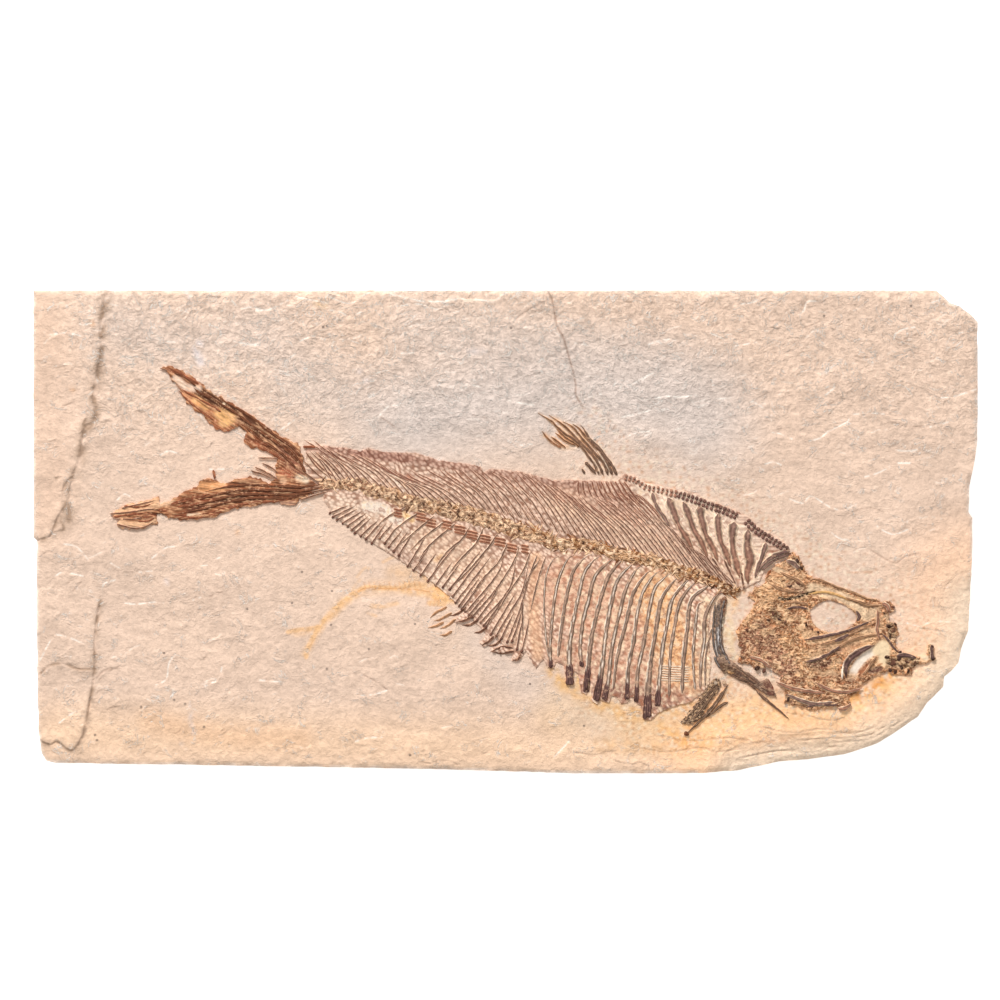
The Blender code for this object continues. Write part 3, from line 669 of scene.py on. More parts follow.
# Cells, reach in cells, colour, strength.
STONE_GLAZES = [
    ([(420, 420), (520, 400), (640, 400), (700, 420)], 95, LILAC, 0.95),
    ([(420, 330), (560, 350), (700, 380)], 60, LILAC, 0.45),
    ([(300, 380), (380, 420)], 70, LILAC, 0.5), ([(120, 330), (200, 345), (260, 330)], 60, LILAC, 0.4),
    ([(40, 310), (55, 420), (52, 520)], 50, pigment(234, 200, 175), 0.85),
    ([(100, 400), (120, 480), (120, 560), (100, 650)], 80, pigment(232, 202, 180), 0.75),
    ([(250, 560), (300, 680)], 70, pigment(234, 204, 182), 0.6),
    ([(60, 735), (200, 742), (320, 745), (460, 748), (600, 752), (720, 752)], 55, OCHRE, 0.95),
    ([(700, 745), (780, 745), (860, 728), (930, 680)], 62, OCHRE, 1.0),
    ([(560, 706), (620, 722), (690, 728), (760, 712), (830, 726)], 40, pigment(247, 204, 158), 0.8),
    ([(600, 745), (690, 748), (760, 742)], 14, pigment(240, 190, 140), 0.55),
    ([(690, 740), (740, 742), (800, 737), (850, 728)], 10, pigment(240, 184, 128), 0.5),
    ([(150, 720), (220, 735), (300, 738)], 22, pigment(243, 196, 156), 0.5),
    ([(480, 640), (520, 680), (600, 725)], 30, LILAC, 0.35),
    ([(850, 700), (866, 692), (880, 684), (893, 672)], 14, pigment(244, 184, 116), 1.0),
    ([(845, 712), (868, 702), (890, 690)], 14, pigment(247, 208, 156), 0.7),
    ([(857, 696), (868, 693), (880, 681)], 4, pigment(226, 146, 78), 0.5),
    ([(874, 700), (884, 704), (884, 712)], 5, pigment(240, 176, 116), 0.7),
    ([(762, 742), (781, 741), (794, 738)], 4, pigment(238, 170, 116), 0.7),
    ([(552, 658), (556, 668), (562, 686)], 8, pigment(247, 196, 128), 0.8),
    ([(578, 672), (578, 690)], 6, pigment(247, 198, 130), 0.8),
    ([(598, 704), (616, 708), (638, 712)], 7, pigment(245, 190, 126), 0.7),
    ([(660, 726), (676, 736), (686, 742)], 7, pigment(244, 188, 124), 0.75),
    ([(724, 604), (730, 640), (738, 655)], 14, pigment(251, 220, 180), 0.95),
    ([(726, 682), (716, 700), (692, 720), (684, 738)], 15, pigment(242, 184, 120), 0.55),
    ([(552, 672), (572, 690), (600, 706), (640, 716), (690, 706)], 12, pigment(243, 190, 130), 0.75),
    ([(755, 700), (770, 712), (790, 722)], 14, pigment(246, 205, 158), 0.6),
    ([(742, 592), (736, 602), (731, 612)], 6, pigment(240, 180, 120), 0.7),
    ([(735, 640), (742, 662)], 5, pigment(238, 184, 136), 0.6),
    ([(552, 420), (566, 430), (584, 440)], 9, pigment(244, 208, 172), 0.7),
    ([(545, 436), (560, 446), (574, 446)], 5, pigment(246, 196, 150), 0.7),
    ([(236, 533)], 5, RUST, 0.85), ([(73, 389)], 5, RUST, 0.6), ([(93, 324), (90, 321)], 4.5, RUST, 0.5),
    ([(318, 302), (323, 304)], 7, pigment(236, 196, 140), 0.6),
    ([(199, 344), (197, 352), (201, 363)], 7, LIME, 0.6),
    ([(187, 290), (189, 302)], 5, LIME, 0.45), ([(191, 705), (190, 718), (193, 732)], 4, LIME, 0.4),
    ([(182, 744), (184, 749)], 4, LIME, 0.35), ([(166, 580), (168, 584)], 4, LIME, 0.35),
    ([(360, 372), (366, 380)], 6, LIME, 0.35), ([(470, 352), (485, 350)], 5, LIME, 0.35),
]
print(len(STONE_GLAZES), "glazes on the stone")

# %% [markdown]
# ## The small fish
#
# A young fish lies head to head with the belly of the large one. Nothing of it stands up: it is an
# orange film on the split face. It is painted with a spine of fine ticks, a head, two tail lobes
# and faint fins.

# %% Strokes of the small fish
FILM = pigment(247, 197, 146)
FILM_DARK = pigment(224, 158, 104)
SMALL_FISH = [
    ([(446, 594), (424, 589), (400, 587), (372, 588)], 12, FILM, 0.4, 0.2),
    ([(392, 572), (410, 570), (424, 578)], 12, FILM, 0.35, 0.1),
    ([(366, 590), (348, 598), (330, 616)], 8, FILM, 0.4, 0.2),
    ([(318, 628), (306, 632), (294, 633)], 6, FILM, 0.45, 0.2),
    ([(318, 630), (312, 642), (305, 654)], 6, FILM, 0.45, 0.2),
    ([(452, 598), (440, 594), (424, 590), (407, 588)], 9.5, FILM, 0.75, 0.35),
    ([(449, 595), (438, 593)], 10, pigment(252, 198, 142), 1.0, 0.5),
    ([(430, 603), (444, 604)], 4, FILM, 0.85, 0.4),
    ([(407, 589), (384, 588), (365, 588), (353, 594), (338, 606), (326, 618),
      (318, 627)], 3.4, FILM, 0.95, 0.4),
    ([(356, 594), (341, 606), (328, 619), (320, 629)], 5.0, FILM, 0.55, 0.3),
    ([(318, 628), (308, 629), (298, 630), (288, 632)], 3.2, FILM, 0.75, 0.4),
    ([(317, 629), (313, 638), (308, 648), (306, 657)], 3.4, FILM, 0.8, 0.4),
    ([(383, 562), (394, 557), (406, 558), (414, 566), (423, 575), (428, 584)], 2.6, FILM, 0.5, 0.2),
    ([(357, 577), (365, 568), (371, 570)], 2.2, FILM, 0.4, 0.2),
    ([(352, 590), (360, 580)], 3, FILM, 0.3, 0.1),
    ([(372, 606), (384, 606), (397, 603)], 3.6, FILM, 0.6, 0.3),
    ([(368, 613), (376, 616)], 2.4, FILM, 0.45, 0.3),
    ([(398, 572), (408, 578), (420, 584)], 9, FILM, 0.28, 0.0),
    ([(430, 592), (418, 590), (405, 589), (384, 588.5), (366, 588.5),
      (356, 592)], 1.0, FILM_DARK, 0.75, 0.2),
    ([(450, 599)], 1.4, pigment(140, 96, 70), 0.7, 0.5),
    ([(436, 589), (442, 588)], 2.2, FILM_DARK, 0.35, 0.2),
    ([(434, 599), (440, 601)], 2.2, FILM_DARK, 0.3, 0.2),
]
TICKS = [(364 + 5 * k, 588 - 0.1 * k) for k in range(12)]      # one vertebra a tick
SMALL_FISH += [([(col, row - 5.5),
   (col + 1.5, row + 0.5)], 0.9, FILM_DARK, 0.45, 0.3) for col, row in TICKS]
SMALL_FISH += [([(428 + 4 * k, 597 - k), (426 + 4 * k, 606)], 0.9, FILM_DARK, 0.3, 0.3) for k in range(4)]
SPECKS = [
    (174, 700), (185, 704), (204, 727), (95, 735), (97, 740), (141, 707), (247, 609), (164, 653),
    (323, 327),
    (327, 326), (511, 328), (292, 603), (331, 625), (369, 649), (327, 669), (415, 624), (302, 572),
    (332, 591), (530, 684), (595, 440), (824, 316), (911, 306), (410, 755), (584, 726),
]
print(len(SMALL_FISH), "strokes and", len(SPECKS), "dark grains")

# %% [markdown]
# ## Build the plate
#
# The face is one triangulated sheet: coarse where the stone is plain, and finer along scarps,
# hairlines and ledges, round the small fish and at the grains. From its rim the broken side goes
# down in layers, each a little further in or out than the one above, to a flat underside.

# %% Points of the face
FACE_MESH, FINE_MESH, RIM_MESH = 0.74 * MM, 0.28 * MM, 0.9 * MM


def even_run(line, step):
    """Points a step apart along a closed polyline, with its corners kept."""
    out = []
    for a, b in zip(line, np.roll(line, -1, axis=0)):
        count = max(1, int(round(np.linalg.norm(b - a) / step)))
        out.append(a + (b - a) * (np.arange(count) / count)[:, None])
    return np.vstack(out)


def near_any(points, lines, reach):
    hit = np.zeros(len(points), bool)
    for line in lines:
        hit[near_line(points, line, reach)[0]] = True
    return hit


slab_border = even_run(spots(SLAB_BORDER), RIM_MESH)
bites = np.abs(wander(slab_border, 3.5 * MM, 9.9))[:, None]
slab_border = slab_border - bites * 0.12 * MM * np.sign(slab_border)
fine_lines = [smooth_line(cells) for cells, *_ in HAIRLINES + SCARPS]
fine_lines += [smooth_line(cells) for cells, *_ in SMALL_FISH if len(cells) > 1]
fine_lines += [smooth_line([(c - 1, r), (c + 1, r)]) for c, r in SPECKS]
ledge_lines = [smooth_line(cells) for cells in LEDGES]
coarse = even_points(slab_border, FACE_MESH)
fine = even_points(slab_border, FINE_MESH)
fine = fine[near_any(fine, fine_lines, 0.9 * MM) | near_any(fine, ledge_lines, 0.5 * MM)]
coarse = coarse[~near_any(coarse, fine_lines, 1.1 * MM) & ~near_any(coarse, ledge_lines, 0.75 * MM)]
face_points = np.vstack([coarse, fine])
print("face points:", len(coarse), "coarse and", len(fine), "fine")

# %% Lift, colour and close the plate
SIDE_LAYERS = 12
STAIN_REACH = 16                       # a glaze this small is a blotchy stain, not a broad tint
# Painted light towards the broken corner, where the thinning slope turns away from the lamp.
CORNER_LIGHT = np.array([0.26, 0.12, -0.02])
CRUMB_DARK, CRUMB_PALE = pigment(206, 146, 102), pigment(255, 236, 208)


def stone_colours(points):
    colours = glazed(points, STONE, [glaze_row for glaze_row in STONE_GLAZES if glaze_row[1] > STAIN_REACH])
    stained = colours.copy()
    for cells, reach, colour, strength in STONE_GLAZES:
        if reach <= STAIN_REACH:
            stroke(stained, points, cells, reach, colour, strength)
    colours += (stained - colours) * soft(0.7 + 1.0 * wander(points, 1.5 * MM, 18.8))[:, None]
    # Painted light: lighter and warmer towards the broken rim.
    corner = soft(1.2 - line_distance(points, spots(BROKEN_RIM))[0] / (24 * MM))
    colours *= 1 + corner[:, None] * CORNER_LIGHT
    # Painted light: where the top layer is loose, the colour is lifted to make up for the shade that its
    # bumps cast.
    colours *= (1 + 0.13 * np.clip(looseness(points) - 0.4, 0, 1))[:, None]
    near = (1 - away_from_fish(points)) * soft((cells_of(points)[:, 0] - 540) / 80)
    crumb = wander(points, 0.75 * MM, 19.9)
    colours = glaze(colours, 0.6 * near * soft(1.8 * crumb - 0.5), CRUMB_DARK)
    colours = glaze(colours, 0.6 * near * soft(-1.8 * crumb - 0.4), CRUMB_PALE)
    mottle = 1 + 0.03 * wander(points, 11 * MM, 11.1, 1.5) + 0.02 * wander(points, 4 * MM, 12.2, 1.5)
    colours *= mottle[:, None]
    # Painted highlight along the ledges that face the lamp, and painted shade in the crack colour along the
    # others.
    edges = colours.copy()
    for k, cells in enumerate(LEDGES):
        lit = cells[0][0] < cells[-1][0]
        strength = (0.8 if lit else 0.45) * (1.0 if k < TRACED else 0.5)
        stroke(edges, points, cells, 1.1 if k < TRACED else 0.9, LIT_EDGE if lit else CRACK_AND_SHADE, strength, 0.15)
    colours += (edges - colours) * soft(0.66 + 1.2 * wander(points, 1.2 * MM, 17.7))[:, None]
    for cells, width, _, dark in HAIRLINES:
        stroke(colours, points, cells, 1.3 * width, CRACK_AND_SHADE, dark)
    # Painted shade: soft darker bands along each scarp, where the stone steps down, broken by noise.
    broken = colours.copy()
    for cells, width, _, _ in SCARPS:
        stroke(broken, points, cells, 3.6 * width, pigment(206, 176, 152), 0.8)
        stroke(broken, points, cells, 1.8 * width, pigment(164, 134, 112), 0.7)
    colours += (broken - colours) * soft(0.62 + 1.0 * wander(points, 2.2 * MM, 14.4))[:, None]
    rim, _ = line_distance(points, rim_line)
    # Paler within 0.7 mm of the rim, broken by noise.
    pale_rim = soft(1 - rim / (0.7 * MM)) * soft(0.7 + 0.7 * wander(points, 3 * MM, 16.6))
    colours = glaze(colours, 0.75 * pale_rim, pigment(255, 240, 226))
    # Painted light: the thin edge along the broken rim is glazed pale.
    thin = soft(1 - line_distance(points, spots(BROKEN_RIM))[0] / CORNER_WIDTH)
    colours = glaze(colours, 0.9 * thin, pigment(255, 228, 200))
    film = colours.copy()
    for cells, reach, colour, strength, hard in SMALL_FISH:
        stroke(film, points, cells, reach, colour, strength, hard)
    worn = soft(0.95 + 0.55 * wander(points, 1.1 * MM, 13.3))[:, None]
    colours = colours + (film - colours) * worn
    for cell in SPECKS:
        stroke(colours, points, [cell], 1.7, pigment(92, 80, 74), 0.85, 0.3)
    return colours


def looseness(points):
    """How loose the top layer is: most above the fish, least under it."""
    cells = cells_of(points)
    upper = soft((480 - cells[:, 1]) / 110) * (0.7 + 0.3 * soft((760 - cells[:, 0]) / 200))
    return 0.4 + 0.6 * upper * soft((cells[:, 0] - 40) / 90) - 0.1 * (1 - away_from_fish(points))


def closed_plate(flat, faces, heights, ring_heights, ring_inset):
    """Sides and a flat underside for a triangulated face; ring_inset moves each ring inwards."""
    vertices = [np.column_stack([flat, heights])]
    solid = [tuple(face) for face in faces.tolist()]
    rim = open_edges(faces)
    order = sorted({a for a, _ in rim})
    seat = {a: k for k, a in enumerate(order)}
    ring, count = order, len(flat)
    base = flat[order]
    for level, height in enumerate(ring_heights):
        base = flat[order] - ring_inset(flat[order], level)
        vertices.append(np.column_stack([base, height(heights[order])]))
        below = list(range(count, count + len(order)))
        count += len(order)
        solid += [(ring[seat[b]], ring[seat[a]], below[seat[a]], below[seat[b]]) for a, b in rim]
        ring = below
    edges = [(seat[a], seat[b]) for a, b in rim]
    _, _, caps, *_ = delaunay_2d_cdt([Vector(p) for p in base.tolist()], edges, [], 0, 1e-9)
    middles = np.array([base[list(cap)].mean(axis=0) for cap in caps])
    odd = np.zeros(len(caps), bool)
    for a, b in edges:
        (ax, ay), (bx, by) = base[a], base[b]
        crosses = (ay > middles[:, 1]) != (by > middles[:, 1])
        if ay != by:
            odd ^= crosses & (middles[:, 0] < ax + (middles[:, 1] - ay) / (by - ay) * (bx - ax))
    solid += [tuple(ring[k] for k in reversed(cap)) for cap, keep in zip(caps, odd) if keep]
    return np.vstack(vertices), solid


def side_inset(points, level):
    """How far one layer of the broken side stands in from the rim."""
    share = (level + 1) / SIDE_LAYERS
    layer = 0.32 * wander(points, 9 * MM, 20 + 3.1 * level, 1.0) + 0.16 * wander(points, 2.6 * MM, 40 + level)
    undercut = 1.9 * soft((share - 0.82) / 0.18)
    inward = (0.45 * math.sin(3.1 * share) + 0.4 + 0.55 * share + layer + undercut) * MM
    inward = np.where(level == SIDE_LAYERS - 1, 1.98 * MM, np.maximum(inward, 0.1 * MM))
    direction = points / (1.95, 1.0)
    return direction / np.linalg.norm(direction, axis=1)[:, None] * np.asarray(inward)[:, None]


face_flat, face_triangles = triangulate(slab_border, face_points)
face_heights = stone_height(face_flat)
rings = [lambda top, s=(k + 1) / SIDE_LAYERS: top * (1 - s) for k in range(SIDE_LAYERS)]
plate_points, plate_faces = closed_plate(face_flat, face_triangles, face_heights, rings, side_inset)
plate_colours = stone_colours(plate_points[:, :2])
lower = np.arange(len(plate_points)) >= len(face_flat)
band = 1 + 0.06 * wander(plate_points[lower][:, [0, 2]] * (0.15, 1.0), 0.9 * MM, 15.5)
plate_colours[lower] *= (band * 0.96)[:, None]
plate = dress("limestone_plate", plate_points.tolist(), plate_faces, plate_colours, stone_finish,
              alpha=looseness(plate_points[:, :2]))
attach(plate, "root")
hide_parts("limestone_slab")

# %% [markdown]
# ## Sheets of bone and skin
#
# Skin and flat bone lie on the stone as sheets a third of a millimetre thick. Their borders are
# drawn with few points and then made ragged with noise, because a fossil's edge is crumbled, not
# cut. `bone_sheet` builds the fine mesh, lets a formula lift it, and closes it underneath.

# %% Ragged sheets
SHEET = 0.34 * MM
SHEET_FOOT = 0.12 * MM                 # how deep a sheet sinks into the stone
ROUNDED_RIM = 0.45 * MM


def ragged(cells, amount=0.7, size=0.9 * MM, step=0.3 * MM, layer=50.0):
    """A closed border of listed cells, with its edge roughened by `amount` grid steps."""
    line = even_run(spots(cells), step)
    ahead, behind = np.roll(line, -1, axis=0), np.roll(line, 1, axis=0)
    along = ahead - behind
    sideways = np.column_stack([-along[:, 1], along[:, 0]]) / np.linalg.norm(along, axis=1)[:, None]
    rough = wander(line, size, layer) + 0.6 * wander(line, 0.45 * size, layer + 5)
    return line + sideways * (rough * amount * STEP)[:, None]


def skin_height(points):
    """Top of the skin: level with the bone sheets, gently uneven."""
    return BED + SHEET + (0.05 * wander(points, 3.1 * MM, 61.0) + 0.035 * wander(points, 1.2 * MM, 62.0)) * MM


def bone_sheet(name, border, spacing, lift, paint, material, holes=(), uv=None, alpha=None):
    """A closed sheet on the stone. `lift` gives its height over the sheet's top, in metres."""
    holes = [np.asarray(hole) for hole in holes]
    inner = even_points(border, spacing)
    for hole in holes:
        inner = inner[~within(inner, hole)]
    flat, faces = triangulate(border, inner, holes)
    edge, _ = line_distance(flat, np.vstack([border, border[:1]]))
    for hole in holes:
        edge = np.minimum(edge, line_distance(flat, np.vstack([hole, hole[:1]]))[0])
    rounded = 0.62 + 0.38 * soft(edge / ROUNDED_RIM)
    heights = BED + (skin_height(flat) - BED + lift(flat)) * rounded
    under = [lambda top: np.full(len(top), BED - SHEET_FOOT)]
    solid_points, solid = closed_plate(flat, faces, heights, under, lambda p, level: 0 * p)
    colours = paint(solid_points[:, :2])
    places = uv(solid_points[:, :2]) if uv else None
    strength = alpha(solid_points[:, :2]) if alpha else None
    piece = dress(name, solid_points.tolist(), solid, colours, material, places, strength)
    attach(piece, "root")
    return piece


print("skin lies", round(1000 * SHEET, 2), "mm over the bedding face")

# %% [markdown]
# ## Bones as tapered ridges
#
# A rib or a fin ray is a low ridge: nine points across, swept along its line. Its sides sink a
# little into what it lies on, so no gap shows. Each ridge has a row of tones across it: its pale
# edges and pale lines are painted highlights, and its dark walls are partly the bone's own colour
# and partly painted shade. A slow noise along it varies its width, its height and its colour.
# Hundreds of ridges go into one mesh, gathered in a `Heap`.

# %% Heap of bones
ACROSS = np.array([-1.0, -0.8, -0.55, -0.28, 0.0, 0.28, 0.55, 0.8, 1.0])
CREST = np.array([0.0, 0.62, 0.92, 0.98, 0.86, 0.98, 0.9, 0.58, 0.0])
SINK = 0.07 * MM


class Heap:
    def __init__(self, name):
        self.name, self.points, self.faces, self.colours, self.places, self.count = name, [], [], [], [], 0

    def add(self, points, faces, colours, places):
        self.faces += [tuple(self.count + k for k in face) for face in faces]
        self.count += len(points)
        for store, part in ((self.points, points), (self.colours, colours), (self.places, places)):
            store.append(part)

    def piece(self, material, slot):
        made = dress(self.name, np.vstack(self.points).tolist(), self.faces, np.vstack(self.colours),
                     material, np.vstack(self.places))
        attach(made, "root")
        return made


def across(tones):
    """A row of tones, or several rows, as one tone for each point across a bone."""
    def spread(row):
        return np.interp(ACROSS, np.linspace(-1, 1, len(row)), row)

    return np.apply_along_axis(spread, -2, np.asarray(tones))


def bone(heap, cells, widths, height, tones, seat, ends=(0.12, 0.12), rough=0.14, step=0.36 * MM,
         second=None):
    """One ridge. widths: half widths in grid steps along it; height in mm; tones: 7 or 9 colours
    across, or a pair of such rows for its two ends; ends: the share of its length that tapers;
    second: a row of tones that takes over here and there."""
    line = smooth_line(cells, step)
    count = len(line)
    t = np.linspace(0, 1, count)
    layer = 70 + 0.37 * heap.count
    taper = soft(np.minimum(t / max(ends[0], 1e-3), 1)) * soft(np.minimum((1 - t) / max(ends[1], 1e-3), 1))
    width = np.interp(t, np.linspace(0, 1, len(widths)), widths) * STEP * (0.25 + 0.75 * taper)
    width = width * (1 + rough * wander(line, 1.3 * MM, layer))
    sideways = sideways_of(line)
    line = line + sideways * (0.22 * STEP * wander(line, 0.8 * MM, layer + 5))[:, None]
    rise = height * MM * (0.3 + 0.7 * taper) * (1 + rough * wander(line, 0.9 * MM, layer + 3))
    plan = line[:, None, :] + ACROSS[None, :, None] * width[:, None, None] * sideways[:, None, :]
    high = seat(line)[:, None] + rise[:, None] * CREST[None, :] - SINK * (CREST[None, :] == 0)
    points = np.dstack([plan, high[:, :, None]]).reshape(-1, 3)
    # The tones across carry painted highlights in their pale edges and lines, and painted shade in their dark
    # walls.
    tones = across(tones)
    if tones.ndim == 3:
        rows = tones[0][None] * (1 - t)[:, None, None] + tones[1][None] * t[:, None, None]
    else:
        rows = np.repeat(tones[None], count, axis=0)
    swap = soft(0.5 + 1.6 * wander(line, 1.9 * MM, layer + 11))[:, None, None]
    rows = rows * (1 - swap) + (rows[:, ::-1] if second is None else across(second)[None]) * swap
    shade = 1 + 0.16 * wander(line, 1.1 * MM, layer + 7) + 0.1 * wander(line, 0.5 * MM, layer + 9)
    colours = (rows * np.clip(shade, 0.6, 1.35)[:, None, None]).reshape(-1, 3)
    length = np.concatenate([[0], np.cumsum(np.linalg.norm(np.diff(line, axis=0), axis=1))])
    places = np.dstack(np.broadcast_arrays(ACROSS[None, :] * 0.5 * MM + 0.001 * layer,
                                           length[:, None] + 0.01 * layer)).reshape(-1, 2)
    n = len(ACROSS)
    faces = [(i * n + j, (i + 1) * n + j, (i + 1) * n + (j + 1) % n, i * n + (j + 1) % n)
             for i in range(count - 1) for j in range(n)]
    faces += [tuple(range(n)), tuple(range(count * n - 1, (count - 1) * n - 1, -1))]
    heap.add(points, faces, colours, places)


def moved(cells, shift):
    """The same line of cells, moved sideways by grid steps."""
    line = np.array(cells, float)
    return line + sideways_of(line) * shift


def scatter(border, count, seed):
    """Cells spread at random inside a closed border of cells, the same every time."""
    border = np.array(border, float)
    tries = np.random.default_rng(seed).uniform(border.min(0), border.max(0), (8 * count, 2))
    return tries[within(tries, border)][:count]


PALE_SLIVER = pigment(252, 210, 168)


def slivers(heap, places, angles, lengths, half, ground, seat, seed, pale_share=0.5):
    """Short splinters, each paler or darker than the ground that it lies on."""
    chance = np.random.default_rng(seed)
    for cell, angle, colour in zip(places, angles, ground(spots(places))):
        way = np.array([math.cos(angle), math.sin(angle)]) * chance.uniform(*lengths) / 2
        bend = chance.uniform(-0.3, 0.3) * np.array([-way[1], way[0]])
        if chance.random() < pale_share:
            core = 0.45 * colour + 0.55 * PALE_SLIVER
        else:
            core = colour * (1.15, 0.88, 0.76) * chance.uniform(0.25, 0.6)
        # The row is lighter in the middle and darker on one side: a painted highlight and painted shade.
        row = [0.6 * colour + 0.4 * core, core, core, 1.1 * core, core, 0.7 * core, 0.6 * colour]
        wide = chance.uniform(*half)
        bone(heap, [cell - way, cell + bend, cell + way], (0.7 * wide, wide, 0.5 * wide), 0.12, row, seat,
             (0.2, 0.4), 0.3, 0.4 * MM)


print("ridge profile across:", len(ACROSS), "points")

# %% [markdown]
# ## The finishes of fossil bone
#
# Three finishes share the same idea: the painted pigment, broken up by fine noise. Skin has rows
# of small overlapping scales: pale spots in a brown net, laid out along the fish's own length by
# the mesh's UV place. Ridged bone has fine streaks along its length. Crushed bone is crumpled and
# mottled: its colour darkens along the folds of its bump, a painted shade, and pales on the
# crests beside them, a painted highlight, with a pale net of seams between shards.

# %% Scaled skin
SCALE_LENGTH, SCALE_ROW = 1.15 * MM, 0.98 * MM


def scaled_skin():
    material, tree, shader = finish_for("scaled_skin", 0.68, 0.25)
    place = node(tree, "ShaderNodeUVMap", uv_map="run").outputs[0]
    slanted = node(tree, "ShaderNodeMapping", {"Vector": place, "Rotation": (0, 0, 0.7),
                                               "Scale": (1 / SCALE_LENGTH, 1 / SCALE_ROW, 1)}).outputs[0]
    cells = node(tree, "ShaderNodeTexVoronoi", {"Vector": slanted, "Scale": 1.0, "Randomness": 0.88},
                 voronoi_dimensions="2D")
    spot = ranged(tree, cells.outputs["Distance"], 0.2, 0.6, 1.0, 0.0)
    world = node(tree, "ShaderNodeTexCoord").outputs["Object"]
    broken = ranged(tree, noise_of(tree, world, 650, 3.0, 0.65), 0.32, 0.66, 0.35, 1.15)
    paint = node(tree, "ShaderNodeAttribute", attribute_name="pigment")
    net = sums(tree, "MULTIPLY", paint.outputs["Alpha"], broken)
    dark = blended(tree, 1.0, paint.outputs["Color"], (0.52, 0.38, 0.32), "MULTIPLY")
    pale = blended(tree, 1.0, paint.outputs["Color"], (1.42, 1.5, 1.52), "MULTIPLY")
    scales = blended(tree, spot, dark, pale)
    colour = blended(tree, net, paint.outputs["Color"], scales)
    crushed = ranged(tree, paint.outputs["Alpha"], 0.75, 0.3)
    blotch = noise_of(tree, world, 720, 4.0, 0.62, 0.6)
    bright = sums(tree, "MULTIPLY", ranged(tree, blotch, 0.53, 0.6), sums(tree, "MULTIPLY", crushed, 0.7))
    brown = sums(tree, "MULTIPLY", ranged(tree, blotch, 0.47, 0.4), sums(tree, "MULTIPLY", crushed, 0.6))
    colour = blended(tree, bright, colour, tuple(pigment(250, 216, 180)))
    colour = blended(tree, brown, colour, tuple(pigment(158, 100, 76)))
    grit = ranged(tree, noise_of(tree, world, 1500, 2.0, 0.7), 0.3, 0.7, 0.82, 1.16)
    colour = toned(tree, colour, grit)
    tree.links.new(colour, shader.inputs["Base Color"])
    relief = sums(tree, "ADD", sums(tree, "MULTIPLY", spot, net), sums(tree, "MULTIPLY", grit, 0.5))
    tree.links.new(bumped(tree, relief, 0.10 * MM), shader.inputs["Normal"])
    return material


# %% Streaked bone and crushed bone
def streaked_bone():
    material, tree, shader = finish_for("streaked_bone", 0.78, 0.15)
    place = node(tree, "ShaderNodeUVMap", uv_map="run").outputs[0]
    drawn = node(tree, "ShaderNodeMapping", {"Vector": place, "Scale": (1.0, 0.16, 1.0)}).outputs[0]
    streak = noise_of(tree, drawn, 2300, 3.0, 0.65)
    world = node(tree, "ShaderNodeTexCoord").outputs["Object"]
    chips = noise_of(tree, world, 1100, 3.0, 0.65)
    tone = sums(tree, "MULTIPLY", ranged(tree, streak, 0.3, 0.7, 0.62, 1.36),
                ranged(tree, chips, 0.35, 0.7, 0.85, 1.2))
    colour = toned(tree, node(tree, "ShaderNodeAttribute", attribute_name="pigment").outputs["Color"], tone)
    worn = ranged(tree, chips, 0.58, 0.68)
    colour = blended(tree, sums(tree, "MULTIPLY", worn, 0.45), colour, tuple(pigment(230, 186, 150)))
    tree.links.new(colour, shader.inputs["Base Color"])
    tree.links.new(bumped(tree, tone, 0.06 * MM), shader.inputs["Normal"])
    return material


def crushed_bone():
    material, tree, shader = finish_for("crushed_bone", 0.76, 0.15)
    world = node(tree, "ShaderNodeTexCoord").outputs["Object"]
    paint = node(tree, "ShaderNodeAttribute", attribute_name="pigment")
    crushed = paint.outputs["Alpha"]
    slanted = node(tree, "ShaderNodeMapping", {"Vector": world, "Rotation": (0, 0, 0.6),
                                               "Scale": (0.5, 1, 1)})
    splinter = noise_of(tree, slanted.outputs[0], 760, 5.0, 0.62, 1.8)
    crease = ranged(tree, sums(tree, "ABSOLUTE", sums(tree, "SUBTRACT", splinter, 0.5), 0.0), 0.0, 0.045)
    fine = noise_of(tree, world, 1500, 3.0, 0.7)
    # Painted shade: the colour darkens along the folds, where the creases of the bump lie.
    dark = blended(tree, 1.0, paint.outputs["Color"], (0.38, 0.26, 0.21), "MULTIPLY")
    body = blended(tree, crease, dark, paint.outputs["Color"])
    colour = blended(tree, crushed, paint.outputs["Color"], body)
    spread = sums(tree, "MULTIPLY", sums(tree, "ADD", sums(tree, "MULTIPLY", crushed, 0.7), 0.3),
                  ranged(tree, fine, 0.3, 0.7, -0.4, 0.4))
    colour = toned(tree, colour, sums(tree, "ADD", spread, 1.0))
    shards = node(tree, "ShaderNodeTexVoronoi", {"Vector": world, "Scale": 1050.0, "Randomness": 1.0},
                  feature="DISTANCE_TO_EDGE")
    seam = ranged(tree, shards.outputs["Distance"], 0.03, 0.12, 1.0, 0.0)
    # Painted highlight on the crests beside the folds, and a pale net along the seams of the shards.
    pale = sums(tree, "MAXIMUM", ranged(tree, splinter, 0.55, 0.62),
                sums(tree, "MULTIPLY", seam, ranged(tree, fine, 0.4, 0.6)))
    pale = sums(tree, "MULTIPLY", pale, sums(tree, "MULTIPLY", crushed, 0.75))
    colour = blended(tree, pale, colour, tuple(pigment(250, 212, 170)))
    tree.links.new(colour, shader.inputs["Base Color"])
    relief = sums(tree, "ADD", sums(tree, "MULTIPLY", crease, crushed), fine)
    tree.links.new(bumped(tree, relief, 0.13 * MM), shader.inputs["Normal"])
    return material


skin_finish, bone_finish, crush_finish = scaled_skin(), streaked_bone(), crushed_bone()
print("finishes made:", [m.name for m in (skin_finish, bone_finish, crush_finish)])

# %% [markdown]
# ## The skin of the flank
#
# The skin is one thin sheet from the tail to the shoulder. Its border follows the body with a
# crumbled edge, and it is painted in zones: rose brown along the back, ochre between the front
# ribs, purple brown where the belly is crushed, and cream where it has flaked away. The `run` UV
# measures along and across the backbone, so that the scale rows bend with the fish.

